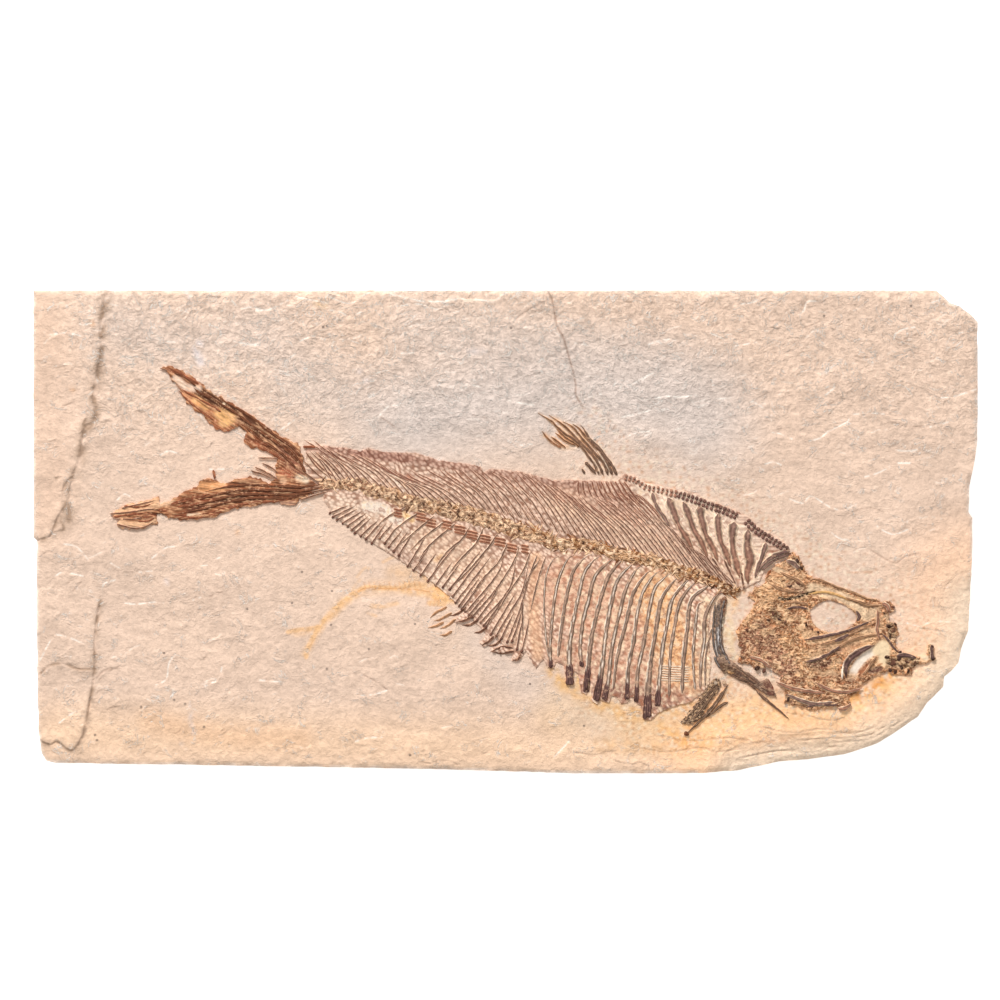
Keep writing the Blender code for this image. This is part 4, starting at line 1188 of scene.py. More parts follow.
# %% Outline and backbone of the body
BODY_BORDER = [
    (306, 447), (319, 446), (346, 448), (360, 451), (369, 448), (383, 452), (416, 453), (437, 460),
    (467, 464), (481, 467), (484, 473), (490, 469), (520, 472), (543, 478), (555, 481), (573, 480),
    (590, 481), (618, 481), (624, 474), (635, 476), (646, 483), (657, 486), (683, 491), (700, 496),
    (710, 501), (721, 505), (736, 511), (748, 517), (761, 529), (776, 537), (790, 548), (784, 556),
    (774, 560), (764, 570), (760, 580), (748, 586), (740, 591), (720, 593), (715, 599), (709, 612),
    (708, 645), (711, 660), (709, 684), (704, 692), (697, 697), (690, 702), (680, 704), (666, 709),
    (658, 713), (650, 720), (645, 720), (641, 706), (637, 703), (634, 697), (630, 697), (627, 703),
    (621, 704), (618, 697), (612, 696), (608, 703), (600, 700), (597, 704),
    (592, 701), (591, 684), (588, 680), (586, 694),
    (581, 692), (578, 674), (574, 670), (572, 685), (567, 684), (564, 665), (556, 661), (554, 668),
    (548, 667), (544, 659),
    (540, 662), (536, 669), (526, 650), (519, 660), (512, 661),
    (514, 653), (492, 652), (491, 648), (506, 647), (496, 637), (484, 647), (480, 643), (488, 635),
    (472, 618), (456, 624), (454, 620), (466, 612), (456, 602), (442, 590), (428, 578), (400, 560),
    (373, 543), (361, 536), (347, 525), (332, 513), (324, 500), (322, 486), (310, 478), (307, 466),
]
BACKBONE = [
    (319, 483), (343, 485), (361, 484), (369, 490), (384, 493), (396, 497), (407, 503), (433, 506),
    (457, 512),
    (484, 519), (509, 527), (534, 535), (557, 543), (584, 544), (600, 548), (615, 554), (640, 558),
    (656, 562),
    (670, 567), (685, 573), (699, 576), (714, 581), (728, 589), (739, 593),
]
body_edge = ragged(BODY_BORDER, 0.6)
backbone_line = smooth_line(BACKBONE)
backbone_length = np.linalg.norm(np.diff(backbone_line, axis=0), axis=1).sum()


def along_fish(points):
    """A place on the flank as (distance along the backbone, height over it)."""
    run = np.concatenate([[0], np.cumsum(np.linalg.norm(np.diff(backbone_line, axis=0), axis=1))])
    across = points[:, 1] - np.interp(points[:, 0], backbone_line[:, 0], backbone_line[:, 1])
    return np.column_stack([np.interp(points[:, 0], backbone_line[:, 0], run) + 0.25 * across, across])


def on_skin(line):
    """Top of whatever lies there: the skin, or bare stone outside its border."""
    heights = skin_height(line)
    bare = ~within(line, body_edge)
    if bare.any():
        heights[bare] = stone_height(line[bare]) + 0.02 * MM
    return heights


print("backbone, mm:", round(1000 * backbone_length, 1))

# %% Paint and lay the skin
SKIN = pigment(212, 177, 155)
SKIN_HARD = 0.35                       # how sharp the zones' edges are, 0 to 1
SKIN_MESH = 0.42 * MM
# Cells, reach in cells, colour, strength, scale pattern left there.
SKIN_ZONES = [
    ([(338, 512), (380, 532), (420, 558), (455, 588)], 24, pigment(230, 200, 176), 0.75, 0.6),
    ([(430, 540), (470, 562), (510, 600), (515, 630)], 26, pigment(224, 188, 160), 0.75, 0.6),
    ([(395, 552), (412, 560), (424, 566)], 9, pigment(176, 140, 122), 0.6, 1.0),
    ([(536, 558), (534, 610), (538, 655)], 9, pigment(220, 172, 136), 0.8, 0.5),
    ([(570, 590), (600, 610), (640, 630)], 46, pigment(220, 168, 138), 0.85, 0.25),
    ([(560, 650), (600, 668), (650, 676)], 20, pigment(206, 154, 126), 0.7, 0.25),
    ([(655, 592), (668, 630), (680, 668)], 30, pigment(240, 182, 126), 0.9, 0.25),
    ([(707, 602), (704, 640), (704, 680)], 9, pigment(242, 212, 176), 0.75, 0.2),
    ([(690, 690), (698, 694)], 8, pigment(226, 176, 130), 0.6, 0.2),
    ([(604, 690), (625, 694), (650, 700), (664, 700)], 13, pigment(150, 104, 86), 0.85, 0.3),
    ([(668, 690), (680, 698)], 9, pigment(172, 118, 92), 0.7, 0.4),
    ([(560, 500), (620, 530), (690, 562)], 22, pigment(232, 198, 170), 0.65, 0.3),
    ([(648, 494), (690, 512), (735, 540), (752, 570)], 24, pigment(242, 214, 190), 0.95, 0.35),
    ([(640, 540), (690, 558), (735, 578)], 10, pigment(205, 172, 146), 0.5, 0.4),
    ([(308, 449), (360, 453), (437, 463), (490, 472), (555, 483),
      (600, 484)], 7, pigment(166, 120, 102), 0.6, 1.0),
    ([(352, 454), (380, 456), (410, 458)], 7, pigment(150, 98, 82), 0.45, 1.0),
    ([(560, 492), (600, 500), (640, 520)], 12, pigment(196, 148, 124), 0.5, 0.8),
    ([(312, 458), (322, 466), (332, 476)], 9, pigment(232, 200, 172), 0.7, 0.4),
    ([(345, 462), (372, 476)], 7, pigment(222, 192, 170), 0.6, 0.5),
    ([(394, 478), (404, 487)], 6, pigment(246, 226, 206), 0.85, 0.0),
    ([(366, 506), (380, 508), (388, 512)], 7.5, pigment(246, 226, 206), 1.0, 0.0),
    ([(392, 519), (400, 522)], 4.5, pigment(246, 228, 208), 0.95, 0.0),
    ([(404, 514), (412, 520)], 4, pigment(238, 196, 134), 0.8, 0.0),
    ([(436, 560), (442, 556)], 3.5, pigment(236, 190, 140), 0.7, 0.2),
    ([(409, 477)], 4.8, pigment(160, 88, 64), 0.85, 0.2),
    ([(409, 477)], 2.4, pigment(216, 156, 126), 0.85, 0.2),
]


def paint_skin(points):
    colours = glazed(points, SKIN, SKIN_ZONES, SKIN_HARD)
    blotch = 1 + 0.07 * wander(points, 5 * MM, 21.0) + 0.07 * wander(points, 1.6 * MM, 22.0)
    colours *= blotch[:, None]
    belly = soft((cells_of(points)[:, 0] - 540) / 25) * soft((points[:, 1] < -0.0045) * 1.0)
    patchy = wander(points, 1.15 * MM, 23.0)
    colours = glaze(colours, 0.75 * belly * soft(1.5 * patchy - 0.1), pigment(246, 214, 180))
    colours = glaze(colours, 0.65 * belly * soft(-1.5 * patchy - 0.1), pigment(184, 118, 84))
    lilac = soft(1.4 * wander(points, 0.8 * MM, 24.5) - 0.5)
    colours = glaze(colours, 0.45 * belly * lilac, pigment(150, 112, 100))
    return colours * (1 + 0.12 * soft((cells_of(points)[:, 1] - 530) / 50))[:, None]


def scale_strength(points):
    return pattern_left(points, SKIN_ZONES, SKIN_HARD)


skin = bone_sheet("flank_skin", body_edge, SKIN_MESH, lambda p: 0.0 * p[:, 0], paint_skin, skin_finish,
                  uv=along_fish, alpha=scale_strength)
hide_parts("body")

# %% [markdown]
# ## The backbone
#
# The vertebrae are crushed into one mottled crust. It stands highest, so it is a narrow sheet of
# its own with a rounded crest. A wave along it, one for each vertebra, and coarse noise break it
# into lumps: grey and cream towards the tail, brown and ochre towards the head.

# %% Backbone crust
VERTEBRA = 11.5 * STEP
CRUST_HALF = (4.0, 7.5, 9.5, 9.5, 8.5, 7.0, 6.5, 6.5, 6.0, 5.0)      # half width along it, in grid steps


def beside(line, half_widths):
    """The border of a strip: the line moved to both sides by half widths given along it."""
    half = np.interp(np.linspace(0, 1, len(line)), np.linspace(0, 1, len(half_widths)), half_widths)
    shift = sideways_of(line) * (half * STEP)[:, None]
    return np.vstack([line + shift, (line - shift)[::-1]])


def roughened(border, amount, size, layer):
    """The same border in short steps, each moved by noise."""
    border = even_run(border, 0.3 * MM)
    shift = np.column_stack([wander(border, size, layer), wander(border, size, layer + 3)])
    return border + shift * amount * STEP


crust_edge = roughened(beside(smooth_line(BACKBONE, 0.9 * MM), CRUST_HALF), 2.2, 1.7 * MM, 24.0)


RUDDY = np.array([1.09, 0.97, 0.86])      # iron makes crushed bone redder than skin
CRUST_MESH = 0.24 * MM
# Tones along the backbone: the share of its length, and the colour there.
CRUST_TONES = [
    (0.0, (214, 174, 144)), (0.1, (190, 152, 126)), (0.25, (178, 144, 120)), (0.45, (196, 158, 130)),
    (0.6, (194, 152, 118)), (0.75, (182, 136, 98)), (1.0, (156, 108, 72)),
]


def crust_lift(points):
    place = along_fish(points)
    crest = np.clip(1 - (place[:, 1] / (8.5 * STEP)) ** 2, 0, 1)
    joints = 0.8 + 0.2 * np.cos(2 * math.pi * place[:, 0] / VERTEBRA)
    lumps = 0.45 + 0.8 * np.abs(wander(points, 1.1 * MM, 25.0)) + 0.25 * wander(points, 0.5 * MM, 26.0)
    return 0.42 * MM * (0.15 + 0.85 * crest) * joints * lumps


def paint_crust(points):
    place = along_fish(points)
    share = place[:, 0] / backbone_length
    stops = [stop for stop, _ in CRUST_TONES]
    rows = np.array([pigment(*colour) for _, colour in CRUST_TONES])
    colours = np.column_stack([np.interp(share, stops, rows[:, k]) for k in range(3)])
    centre = soft(1.2 - np.abs(place[:, 1]) / (5 * STEP))
    fleck = wander(points, 0.95 * MM, 27.0)
    colours = glaze(colours, 0.95 * soft(2.2 * fleck - 0.15), pigment(252, 226, 198))
    colours = glaze(colours, (0.45 + 0.45 * centre) * soft(-2.2 * fleck - 0.2), pigment(78, 50, 38))
    ochre = soft(1.6 * wander(points, 1.3 * MM, 28.0) - 0.3) * (0.2 + 0.6 * share)
    return glaze(colours, ochre, pigment(214, 160, 100)) * RUDDY


crust = bone_sheet("backbone_crust", crust_edge, CRUST_MESH, crust_lift, paint_crust, crush_finish,
                   uv=along_fish, alpha=lambda p: np.full(len(p), 0.7))
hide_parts("body")


def on_crust(line):
    return on_skin(line) + 0.6 * crust_lift(line)


chips = Heap("backbone_slivers")
for seed, half_height, angle, pale in ((3, 9.0, 0.8, 0.55), (4, 7.0, 0.22, 0.45), (5, 9.0, -0.9, 0.6)):
    half_heights = (0.5 * half_height, half_height, 0.7 * half_height)
    around = cells_of(beside(smooth_line(BACKBONE, 0.9 * MM), half_heights))
    places = scatter(around, 165, seed)
    turns = angle + 0.45 * wander(spots(places), 1.5 * MM, 29.0 + seed)
    slivers(chips, places, turns, (4, 11), (0.6, 1.3), paint_crust, on_crust, seed, pale)
chip_piece = chips.piece(bone_finish, "fish_skin")
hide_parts("body")

# %% [markdown]
# ## Ribs
#
# A herring's ribs leave the backbone almost level, turn down within a few millimetres, and run to
# the belly nearly straight. Each is painted with a cream edge, a dark wall, a lilac core and a
# second dark wall: the cream edges and the pale line in the core are painted highlights, and the
# walls are partly the bone's colour and partly painted shade. Their lower ends are thick and dark.

# %% Ribs
RIBS = [
    ([(552, 561), (546, 576), (544, 601), (545, 626), (547, 647), (550, 660)], 1.2, 1.3, 0),
    ([(567, 560), (559, 578), (555, 596), (552, 621), (550, 647), (551, 668)], 2.0, 2.3, 0.10),
    ([(581, 561), (573, 572), (567, 594), (563, 616), (559, 647), (558, 657)], 2.3, 2.0, 0),
    ([(593, 561), (584, 573), (579, 594), (574, 617), (570, 642), (569, 664), (570, 685)], 2.5, 3.8, 0.20),
    ([(606, 564), (595, 576), (589, 598), (583, 621), (580, 647), (582, 667)], 2.6, 2.4, 0.06),
    ([(618, 564), (608, 577), (602, 594), (595, 621), (590, 647), (586, 692)], 2.7, 3.3, 0.22),
    ([(630, 566), (618, 579), (612, 599), (606, 631), (602, 667), (596, 701)], 2.8, 3.6, 0.22),
    ([(636, 570), (626, 588), (620, 611), (612, 647), (608, 682), (604, 700)], 2.4, 3.0, 0.14),
    ([(645, 575), (633, 594), (625, 626), (617, 657), (613, 690)], 2.4, 1.8, 0),
    ([(653, 576), (643, 592), (637, 615), (633, 643), (628, 669), (627, 700)], 2.4, 2.6, 0.16),
    ([(664, 578), (653, 593), (643, 646), (638, 669), (636, 702)], 2.4, 2.4, 0.16),
    ([(673, 582), (661, 600), (656, 629), (651, 658), (648, 690), (647, 718)], 2.8, 4.2, 0.22),
    ([(685, 583), (672, 600), (666, 629), (662, 652), (657, 706)], 2.6, 2.8, 0.14),
    ([(691, 586), (680, 602), (674, 629), (670, 658), (669, 698)], 2.2, 1.8, 0),
    ([(705, 588), (691, 600), (687, 629), (683, 663), (682, 693)], 2.8, 2.6, 0),
    ([(698, 606), (695, 629), (693, 658), (695, 690)], 2.0, 1.5, 0),
    ([(714, 598), (705, 617), (704, 640), (701, 663), (700, 689)], 2.4, 1.6, 0),
    ([(712, 629), (707, 646), (705, 663), (705, 686)], 1.6, 1.3, 0),
]
# Tones across a rib, left to right: the cream edges and pale core lines are painted highlights, and the
# darkest walls are partly painted shade.
RIB_PROFILES = [
    [(238, 204, 176), (242, 222, 200), (76, 52, 41), (172, 140, 120), (158, 128, 110), (60, 42, 34),
     (236, 196, 160)],
    [(234, 194, 160), (70, 48, 38), (160, 130, 112), (248, 230, 210), (154, 124, 106), (62, 43, 35),
     (234, 192, 156)],
    [(244, 214, 186), (96, 66, 52), (168, 136, 116), (182, 150, 128), (150, 120, 102), (58, 40, 33),
     (238, 200, 166)],
]
RIB_END = [(150, 104, 84), (78, 52, 48), (104, 72, 66), (124, 92, 84), (86, 58, 54), (62, 42, 40),
           (176, 124, 96)]


def row_of(colours):
    return np.array([pigment(*colour) for colour in colours])


ribs = Heap("ribs")
for k, (cells, top, bottom, thick) in enumerate(RIBS):
    hook = [(cells[0][0] + 7, cells[0][1] - 5)]
    bone(ribs, hook + cells, (0.5 * top, 0.95 * top, 0.95 * top, 0.48 * (top + bottom), 0.9 * bottom), 0.2,
         row_of(RIB_PROFILES[k % 3]), on_skin, (0.12, 0.04), 0.2, second=row_of(RIB_PROFILES[(k + 1) % 3]))
    if thick:
        line = smooth_line(cells)
        start = line[int((1 - thick) * (len(line) - 1))]
        end_cells = cells_of(np.array([start, 0.5 * (start + line[-1]), line[-1]]))
        for j, shift in enumerate((-0.6, 0.0, 0.6)):
            reach = end_cells + (0.5 * shift, 1.6 * noise.noise((1.7 * k, 2.3 * j, 0.0)))
            bone(ribs, moved(reach, shift * bottom), (0.42 * bottom, 0.52 * bottom, 0.5 * bottom), 0.34,
                 row_of(RIB_END), on_skin, (0.5, 0.02), 0.3)
rib_piece = ribs.piece(bone_finish, "fish_skin")
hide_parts("body")
print("ribs:", len(RIBS))

# %% [markdown]
# ## Spines above and below the backbone
#
# Every vertebra sends one spine up and back and another down and back, each as thin as a bristle.
# The upper ones lie at a different slant along the fish, so a few of them are drawn and the
# rest are worked out in between. A bristle is a dark line between two pale edges, which are
# painted highlights.

# %% Bristles above the backbone
THIN = [(244, 216, 190), (232, 196, 168), (126, 84, 66), (98, 64, 51), (134, 92, 74), (232, 194, 166),
        (246, 220, 196)]
RED_THIN = [(238, 206, 182), (218, 176, 150), (134, 82, 62), (108, 64, 49), (140, 88, 68), (218, 178, 152),
            (240, 208, 184)]
FAINT = [(238, 212, 188), (232, 200, 174), (168, 126, 104), (140, 102, 84), (170, 130, 108),
         (228, 196, 172),
         (242, 218, 196)]
# Foot and tip of the drawn ones, in cells, from tail to head.
UPPER_SPINES = [
    ((330, 479), (308, 452)), ((345, 481), (318, 452)), ((360, 482), (333, 457)), ((384, 486), (355, 462)),
    ((404, 492), (382, 470)), ((424, 497), (398, 480)), ((448, 502), (416, 484)), ((471, 505), (440, 480)),
    ((488, 508), (462, 484)), ((507, 513), (482, 480)), ((532, 519), (506, 485)), ((560, 532), (529, 483)),
    ((580, 537), (546, 492)), ((598, 541), (562, 498)), ((614, 547), (578, 506)), ((632, 551), (598, 514)),
    ((650, 555), (610, 509)), ((668, 560), (622, 505)), ((681, 563), (630, 500)), ((694, 569), (642, 502)),
    ((708, 574), (652, 508)), ((722, 580), (672, 532)), ((736, 586), (694, 552)),
]
UPPER_PITCH = 6.3      # grid steps between two feet


def between(pairs, share):
    """The foot and tip at a share, 0 to 1, along a list of given pairs."""
    at = share * (len(pairs) - 1)
    k = min(int(at), len(pairs) - 2)
    a, b = np.array(pairs[k], float), np.array(pairs[k + 1], float)
    return a + (b - a) * (at - k)


upper = Heap("upper_spines")
foot_run = UPPER_SPINES[-1][0][0] - UPPER_SPINES[0][0][0]
upper_count = int(foot_run / UPPER_PITCH)
for k in range(upper_count):
    share = k / (upper_count - 1)
    shake = [noise.noise((0.7 * k, layer, 0.0)) for layer in (1.5, 4.5, 7.5)]
    foot, tip = between(UPPER_SPINES, share)
    tip = tip + (2.2 * shake[0], 3.0 * shake[1])
    middle = 0.5 * (foot + tip) + (1.6 + 1.2 * shake[2], -1.4)
    row = row_of(FAINT if share > 0.8 and k % 2 else THIN)
    bone(upper, [foot + (3, 3), middle, tip], (1.3, 1.25, 0.9), 0.17, row, on_skin, (0.1, 0.3), 0.25)
    if 0.04 < share < 0.9:
        ahead = tip + (-13 + 5 * shake[2], -13 - 4 * shake[0])
        bone(upper, [0.4 * foot + 0.6 * tip + (3, -4), tip + (-1, -4), ahead], (0.9, 1.05, 0.7), 0.14,
             row_of(RED_THIN), on_skin, (0.2, 0.3), 0.25)
    if 0.3 < share < 0.78:
        short = between([(foot, tip), between(UPPER_SPINES, (k + 1) / upper_count)], 0.5)
        bone(upper, [short[0] + (3, 3), 0.35 * short[0] + 0.65 * short[1] + (1, -1)], (1.2, 0.8), 0.14,
             row_of(FAINT), on_skin, (0.1, 0.4), 0.25)
upper_piece = upper.piece(bone_finish, "fish_skin")
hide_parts("body")

# %% Bristles below the backbone
LOWER_PROFILE = [(242, 220, 198), (236, 208, 182), (138, 98, 80), (96, 68, 55), (128, 92, 75),
                 (212, 174, 146),
                 (238, 208, 180)]
LOWER_SPINES = [
    [(410, 505), (392, 514), (376, 526)], [(421, 511), (402, 524), (386, 538)],
    [(434, 516), (417, 530), (398, 546)], [(447, 520), (423, 538), (409, 552)],
    [(456, 523), (429, 546), (414, 568)], [(470, 526), (462, 539), (446, 553), (431, 576)],
    [(484, 527), (476, 543), (459, 561), (446, 578)], [(498, 533), (487, 549), (466, 573), (450, 589)],
    [(508, 542), (499, 561), (481, 581), (466, 602)], [(519, 546), (514, 561), (497, 589), (485, 612)],
    [(531, 550), (524, 569), (507, 596), (489, 625)], [(537, 555), (527, 584), (520, 612)],
    [(540, 558), (524, 591), (523, 648)], [(546, 556), (538, 580), (530, 612)],
]
lower = Heap("lower_spines")
for cells in LOWER_SPINES:
    bone(lower, cells, (1.3, 1.5, 1.4, 0.9), 0.2, row_of(LOWER_PROFILE), on_skin, (0.1, 0.3), 0.22)
lower_piece = lower.piece(bone_finish, "fish_skin")
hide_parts("body")

# %% [markdown]
# ## Bones of the anal fin
#
# Behind the belly a comb of rods runs from the lower outline up between the spines. Each carried
# one fin ray. The outer end of each is a dark knob, and where rays are left, they hook back from
# the knobs and lie loose on the stone.

# %% Comb of rods, knobs and hooks
ROD = [(240, 216, 194), (212, 174, 150), (124, 86, 70), (104, 72, 58), (134, 96, 78), (220, 186, 160),
       (242, 220, 198)]
RODS = [
    [(330, 513), (348, 505.5)], [(333, 517), (355, 506)], [(337, 520), (357, 509)],
    [(343, 523), (362, 511)],
    [(348, 526), (366, 513)], [(352, 530), (368, 516)], [(355, 533), (371, 518)], [(361, 536), (378, 520)],
    [(366, 539), (383, 520)], [(372, 543), (386, 523)], [(380, 538), (393, 523)], [(385, 543), (397, 527)],
    [(389, 547), (402, 530)], [(394, 551), (408, 531)], [(399, 555), (413, 533)], [(408, 566), (426, 536)],
    [(414, 570), (430, 546)], [(421, 575), (436, 553)], [(428, 581), (443, 561), (464, 536)],
    [(436, 585), (452, 562)], [(443, 587), (460, 563)], [(450, 589), (466, 569), (482, 549)],
    [(453, 596), (470, 573), (484, 556)], [(456, 602), (476, 576), (491, 556)], [(459, 606), (480, 577)],
    [(462, 609), (484, 579), (498, 560)], [(466, 612), (496, 576), (504, 556)], [(469, 615), (488, 592)],
    [(472, 617), (492, 594), (507, 573)], [(477, 620), (498, 592)], [(481, 622), (509, 589), (517, 553)],
    [(484, 625), (504, 600)], [(486, 627), (514, 579)], [(491, 634), (503, 614), (516, 592)],
    [(496, 636), (510, 612), (522, 592), (529, 562)], [(501, 639), (514, 612)],
    [(507, 642), (521, 606), (532, 566)],
    [(512, 641), (518, 624), (522, 609)], [(517, 649), (520, 632), (523, 617)],
    [(522, 651), (526, 634), (529, 618)],
]
HOOKS = [
    [(474, 614), (466, 620), (456, 622)], [(466, 607), (459, 613), (450, 616)],
    [(478, 620), (470, 625), (462, 625)],
    [(486, 628), (480, 632), (474, 633)], [(494, 636), (489, 641), (482, 645)],
    [(501, 640), (495, 645), (487, 646)],
    [(513, 648), (502, 647), (490, 652)], [(514, 651), (503, 653), (492, 652)],
    [(521, 654), (518, 659), (512, 660)],
    [(447, 607), (437, 612), (430, 618)], [(452, 613), (441, 619), (434, 621)],
    [(444, 622), (436, 626), (428, 628)],
    [(456, 619), (447, 626), (440, 629)], [(452, 631), (446, 635), (440, 635)],
]


def dome(heap, cell, radius, height, colour, seat, squeeze=1.0, turn=0.0, sides=10):
    """A small lumpy button of bone; radius in grid steps, height in mm."""
    middle = spots([cell])[0]
    floor_height = seat(middle[None])[0]
    layer = 0.71 * heap.count
    rings = [(1.0, -0.12), (0.94, 0.45), (0.66, 0.86), (0.3, 1.0)]
    angles = 2 * math.pi * np.arange(sides) / sides
    uneven = 1 + 0.16 * np.array([noise.noise((math.cos(a), math.sin(a), layer)) for a in angles]) * 2
    points, colours = [], []
    for share, level in rings:
        x = radius * share * uneven * np.cos(angles)
        y = radius * share * uneven * squeeze * np.sin(angles)
        plan = np.column_stack([x * math.cos(turn) - y * math.sin(turn),
                                x * math.sin(turn) + y * math.cos(turn)])
        high = np.full(sides, floor_height + level * height * MM)
        points.append(np.column_stack([middle + plan * STEP, high]))
        # Painted shade and highlight: each ring is darker at the foot and lighter towards the top.
        colours.append(np.tile(colour * (0.62 + 0.45 * max(level, 0)), (sides, 1)))
    faces = [(r * sides + k, r * sides + (k + 1) % sides, (r + 1) * sides + (k + 1) % sides,
              (r + 1) * sides + k) for r in range(len(rings) - 1) for k in range(sides)]
    faces += [tuple(range(3 * sides, 4 * sides)), tuple(range(sides - 1, -1, -1))]
    points = np.vstack(points)
    heap.add(points, faces, np.vstack(colours), points[:, :2] + 0.01 * layer)


comb = Heap("anal_fin_bones")
KNOB = pigment(116, 78, 64)
FAINT_HOOK = [(226, 178, 132), (196, 148, 110), (150, 104, 76)]
DARK_HOOK = [(220, 180, 148), (128, 88, 70), (96, 64, 50)]
for k, cells in enumerate(RODS):
    bone(comb, cells, (1.6, 1.4, 1.0), 0.22, row_of(ROD), on_skin, (0.02, 0.35))
    dome(comb, cells[0], 1.9 + 0.5 * noise.noise((0.9 * k, 0.0, 2.0)), 0.34, KNOB, on_skin, 0.7, 0.8)
for cells in HOOKS:
    faint = cells[0][0] < 460 and cells[0][1] > 606
    tone = FAINT_HOOK if faint else DARK_HOOK
    hook_row = tone + [tone[2], tone[1], tone[1], tone[0]]
    bone(comb, cells, (1.5, 1.4, 0.9), 0.2, row_of(hook_row), on_skin, (0.1, 0.3))
comb_piece = comb.piece(bone_finish, "fish_skin")
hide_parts("body")

# %% [markdown]
# ## Muscle blocks under the backbone
#
# Where the flesh turned to mineral, small blocks with three dark stripes stand in a row under the
# vertebrae. Pale stripes of the same kind show between two ribs.

# %% Striped blocks
STRIPE = [(238, 202, 172), (186, 132, 104), (150, 94, 70), (126, 74, 54), (150, 96, 72), (196, 142, 112),
          (240, 206, 176)]
PALE_STRIPE = [(170, 120, 96), (232, 198, 166), (244, 218, 190), (246, 222, 196), (240, 210, 180),
               (226, 186, 154),
               (160, 110, 88)]
BLOCKS = [(398, 513, 9), (421, 517, 11), (431, 523, 11), (447, 525, 11), (460, 530, 12), (472, 535, 12),
          (485, 539, 12),
          (500, 542, 12), (512, 548, 11), (525, 549, 8)]
BLOCK_SLOPE = 0.22
blocks = Heap("muscle_blocks")
for col, row, size in BLOCKS:
    for k in (-1, 0, 1):
        low = np.array([col - size / 2, row + 3.1 * k - BLOCK_SLOPE * size / 2])
        run = np.array([size, BLOCK_SLOPE * size])
        bone(blocks, [low, low + run], (1.55, 1.6, 1.5), 0.24, row_of(STRIPE), on_skin, (0.08, 0.08))
for k in range(7):
    row = 665.5 + 2.35 * k
    bone(blocks, [(659 + 0.6 * (k % 2), row), (690 - 0.7 * (k % 3), row + 1.6)], (0.95, 1.0, 0.9), 0.14,
         row_of(PALE_STRIPE), on_skin, (0.1, 0.1))
block_piece = blocks.piece(bone_finish, "fish_skin")
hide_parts("body")

# %% [markdown]
# ## The nape: free bones, scutes and fin supports
#
# Between head and back fin a row of blade-like bones stands free of the backbone, wide and purple
# brown at the top, reddish where they spread again below. The back line over them is armoured
# with a double row of scutes, like a string of beads. Under the back fin a fan of thin supports
# spreads into the flank.

# %% Blades of the nape
PLUM = [(250, 226, 200), (240, 210, 182), (74, 52, 45), (134, 100, 88), (156, 122, 108), (128, 94, 82),
        (66, 47, 40),
        (218, 184, 156), (242, 218, 192)]
RUSTY = [(248, 220, 192), (236, 200, 168), (92, 60, 46), (170, 116, 92), (186, 134, 108), (160, 108, 86),
         (96, 62, 48),
         (210, 168, 138), (240, 208, 180)]
NAPE = [
    ([(652, 493), (656, 505), (663, 516), (670, 527)], (1.8, 1.8, 1.4), PLUM, PLUM),
    ([(668, 498), (674, 513), (679, 526), (686, 537), (693, 550)], (3.4, 3.0, 2.0, 3.0, 1.8), PLUM, RUSTY),
    ([(683, 502), (689, 516), (694, 530), (701, 542), (708, 558)], (3.2, 3.0, 2.2, 3.2, 1.6), PLUM, RUSTY),
    ([(699, 506), (702, 521), (706, 535), (712, 546), (718, 562)], (4.2, 3.6, 2.2, 3.0, 1.5), PLUM, RUSTY),
    ([(718, 514), (718, 526), (720, 540), (725, 551), (731, 568)], (3.2, 2.8, 2.2, 3.2, 1.4), PLUM, RUSTY),
    ([(734, 522), (732, 536), (733, 551), (736, 562), (740, 578)], (3.4, 3.2, 2.6, 3.8, 1.5), PLUM, RUSTY),
    ([(748, 530), (747, 546), (750, 560), (747, 573), (748, 584)], (3.2, 3.0, 5.0, 3.0, 2.2), PLUM, RUSTY),
    ([(766, 543), (762, 556), (757, 570), (755, 578)], (2.4, 2.2, 2.0, 1.4), PLUM, PLUM),
    ([(757, 572), (764, 563), (774, 556), (787, 551)], (1.6, 2.0, 2.2, 1.6), PLUM, PLUM),
    ([(762, 570), (770, 563), (780, 557), (791, 553)], (1.4, 1.9, 2.0, 1.5), PLUM, PLUM),
    ([(741, 572), (744, 590)], (1.4, 1.2), THIN, THIN), ([(724, 560), (736, 585)], (1.4, 1.1), THIN, THIN),
    ([(712, 558), (728, 582)], (1.4, 1.1), THIN, THIN), ([(700, 548), (722, 578)], (1.4, 1.1), THIN, THIN),
    ([(690, 545), (714, 576)], (1.4, 1.1), THIN, THIN), ([(676, 534), (704, 570)], (1.4, 1.1), THIN, THIN),
]
nape = Heap("nape_bones")
for cells, widths, first, last in NAPE:
    rows = np.array([row_of(first), row_of(last)])
    height = 0.42 if first is PLUM else 0.18
    bone(nape, cells, 1.5 * np.array(widths), height, rows, on_skin, (0.06, 0.12), 0.2)
nape_piece = nape.piece(bone_finish, "fish_skin")
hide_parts("body")

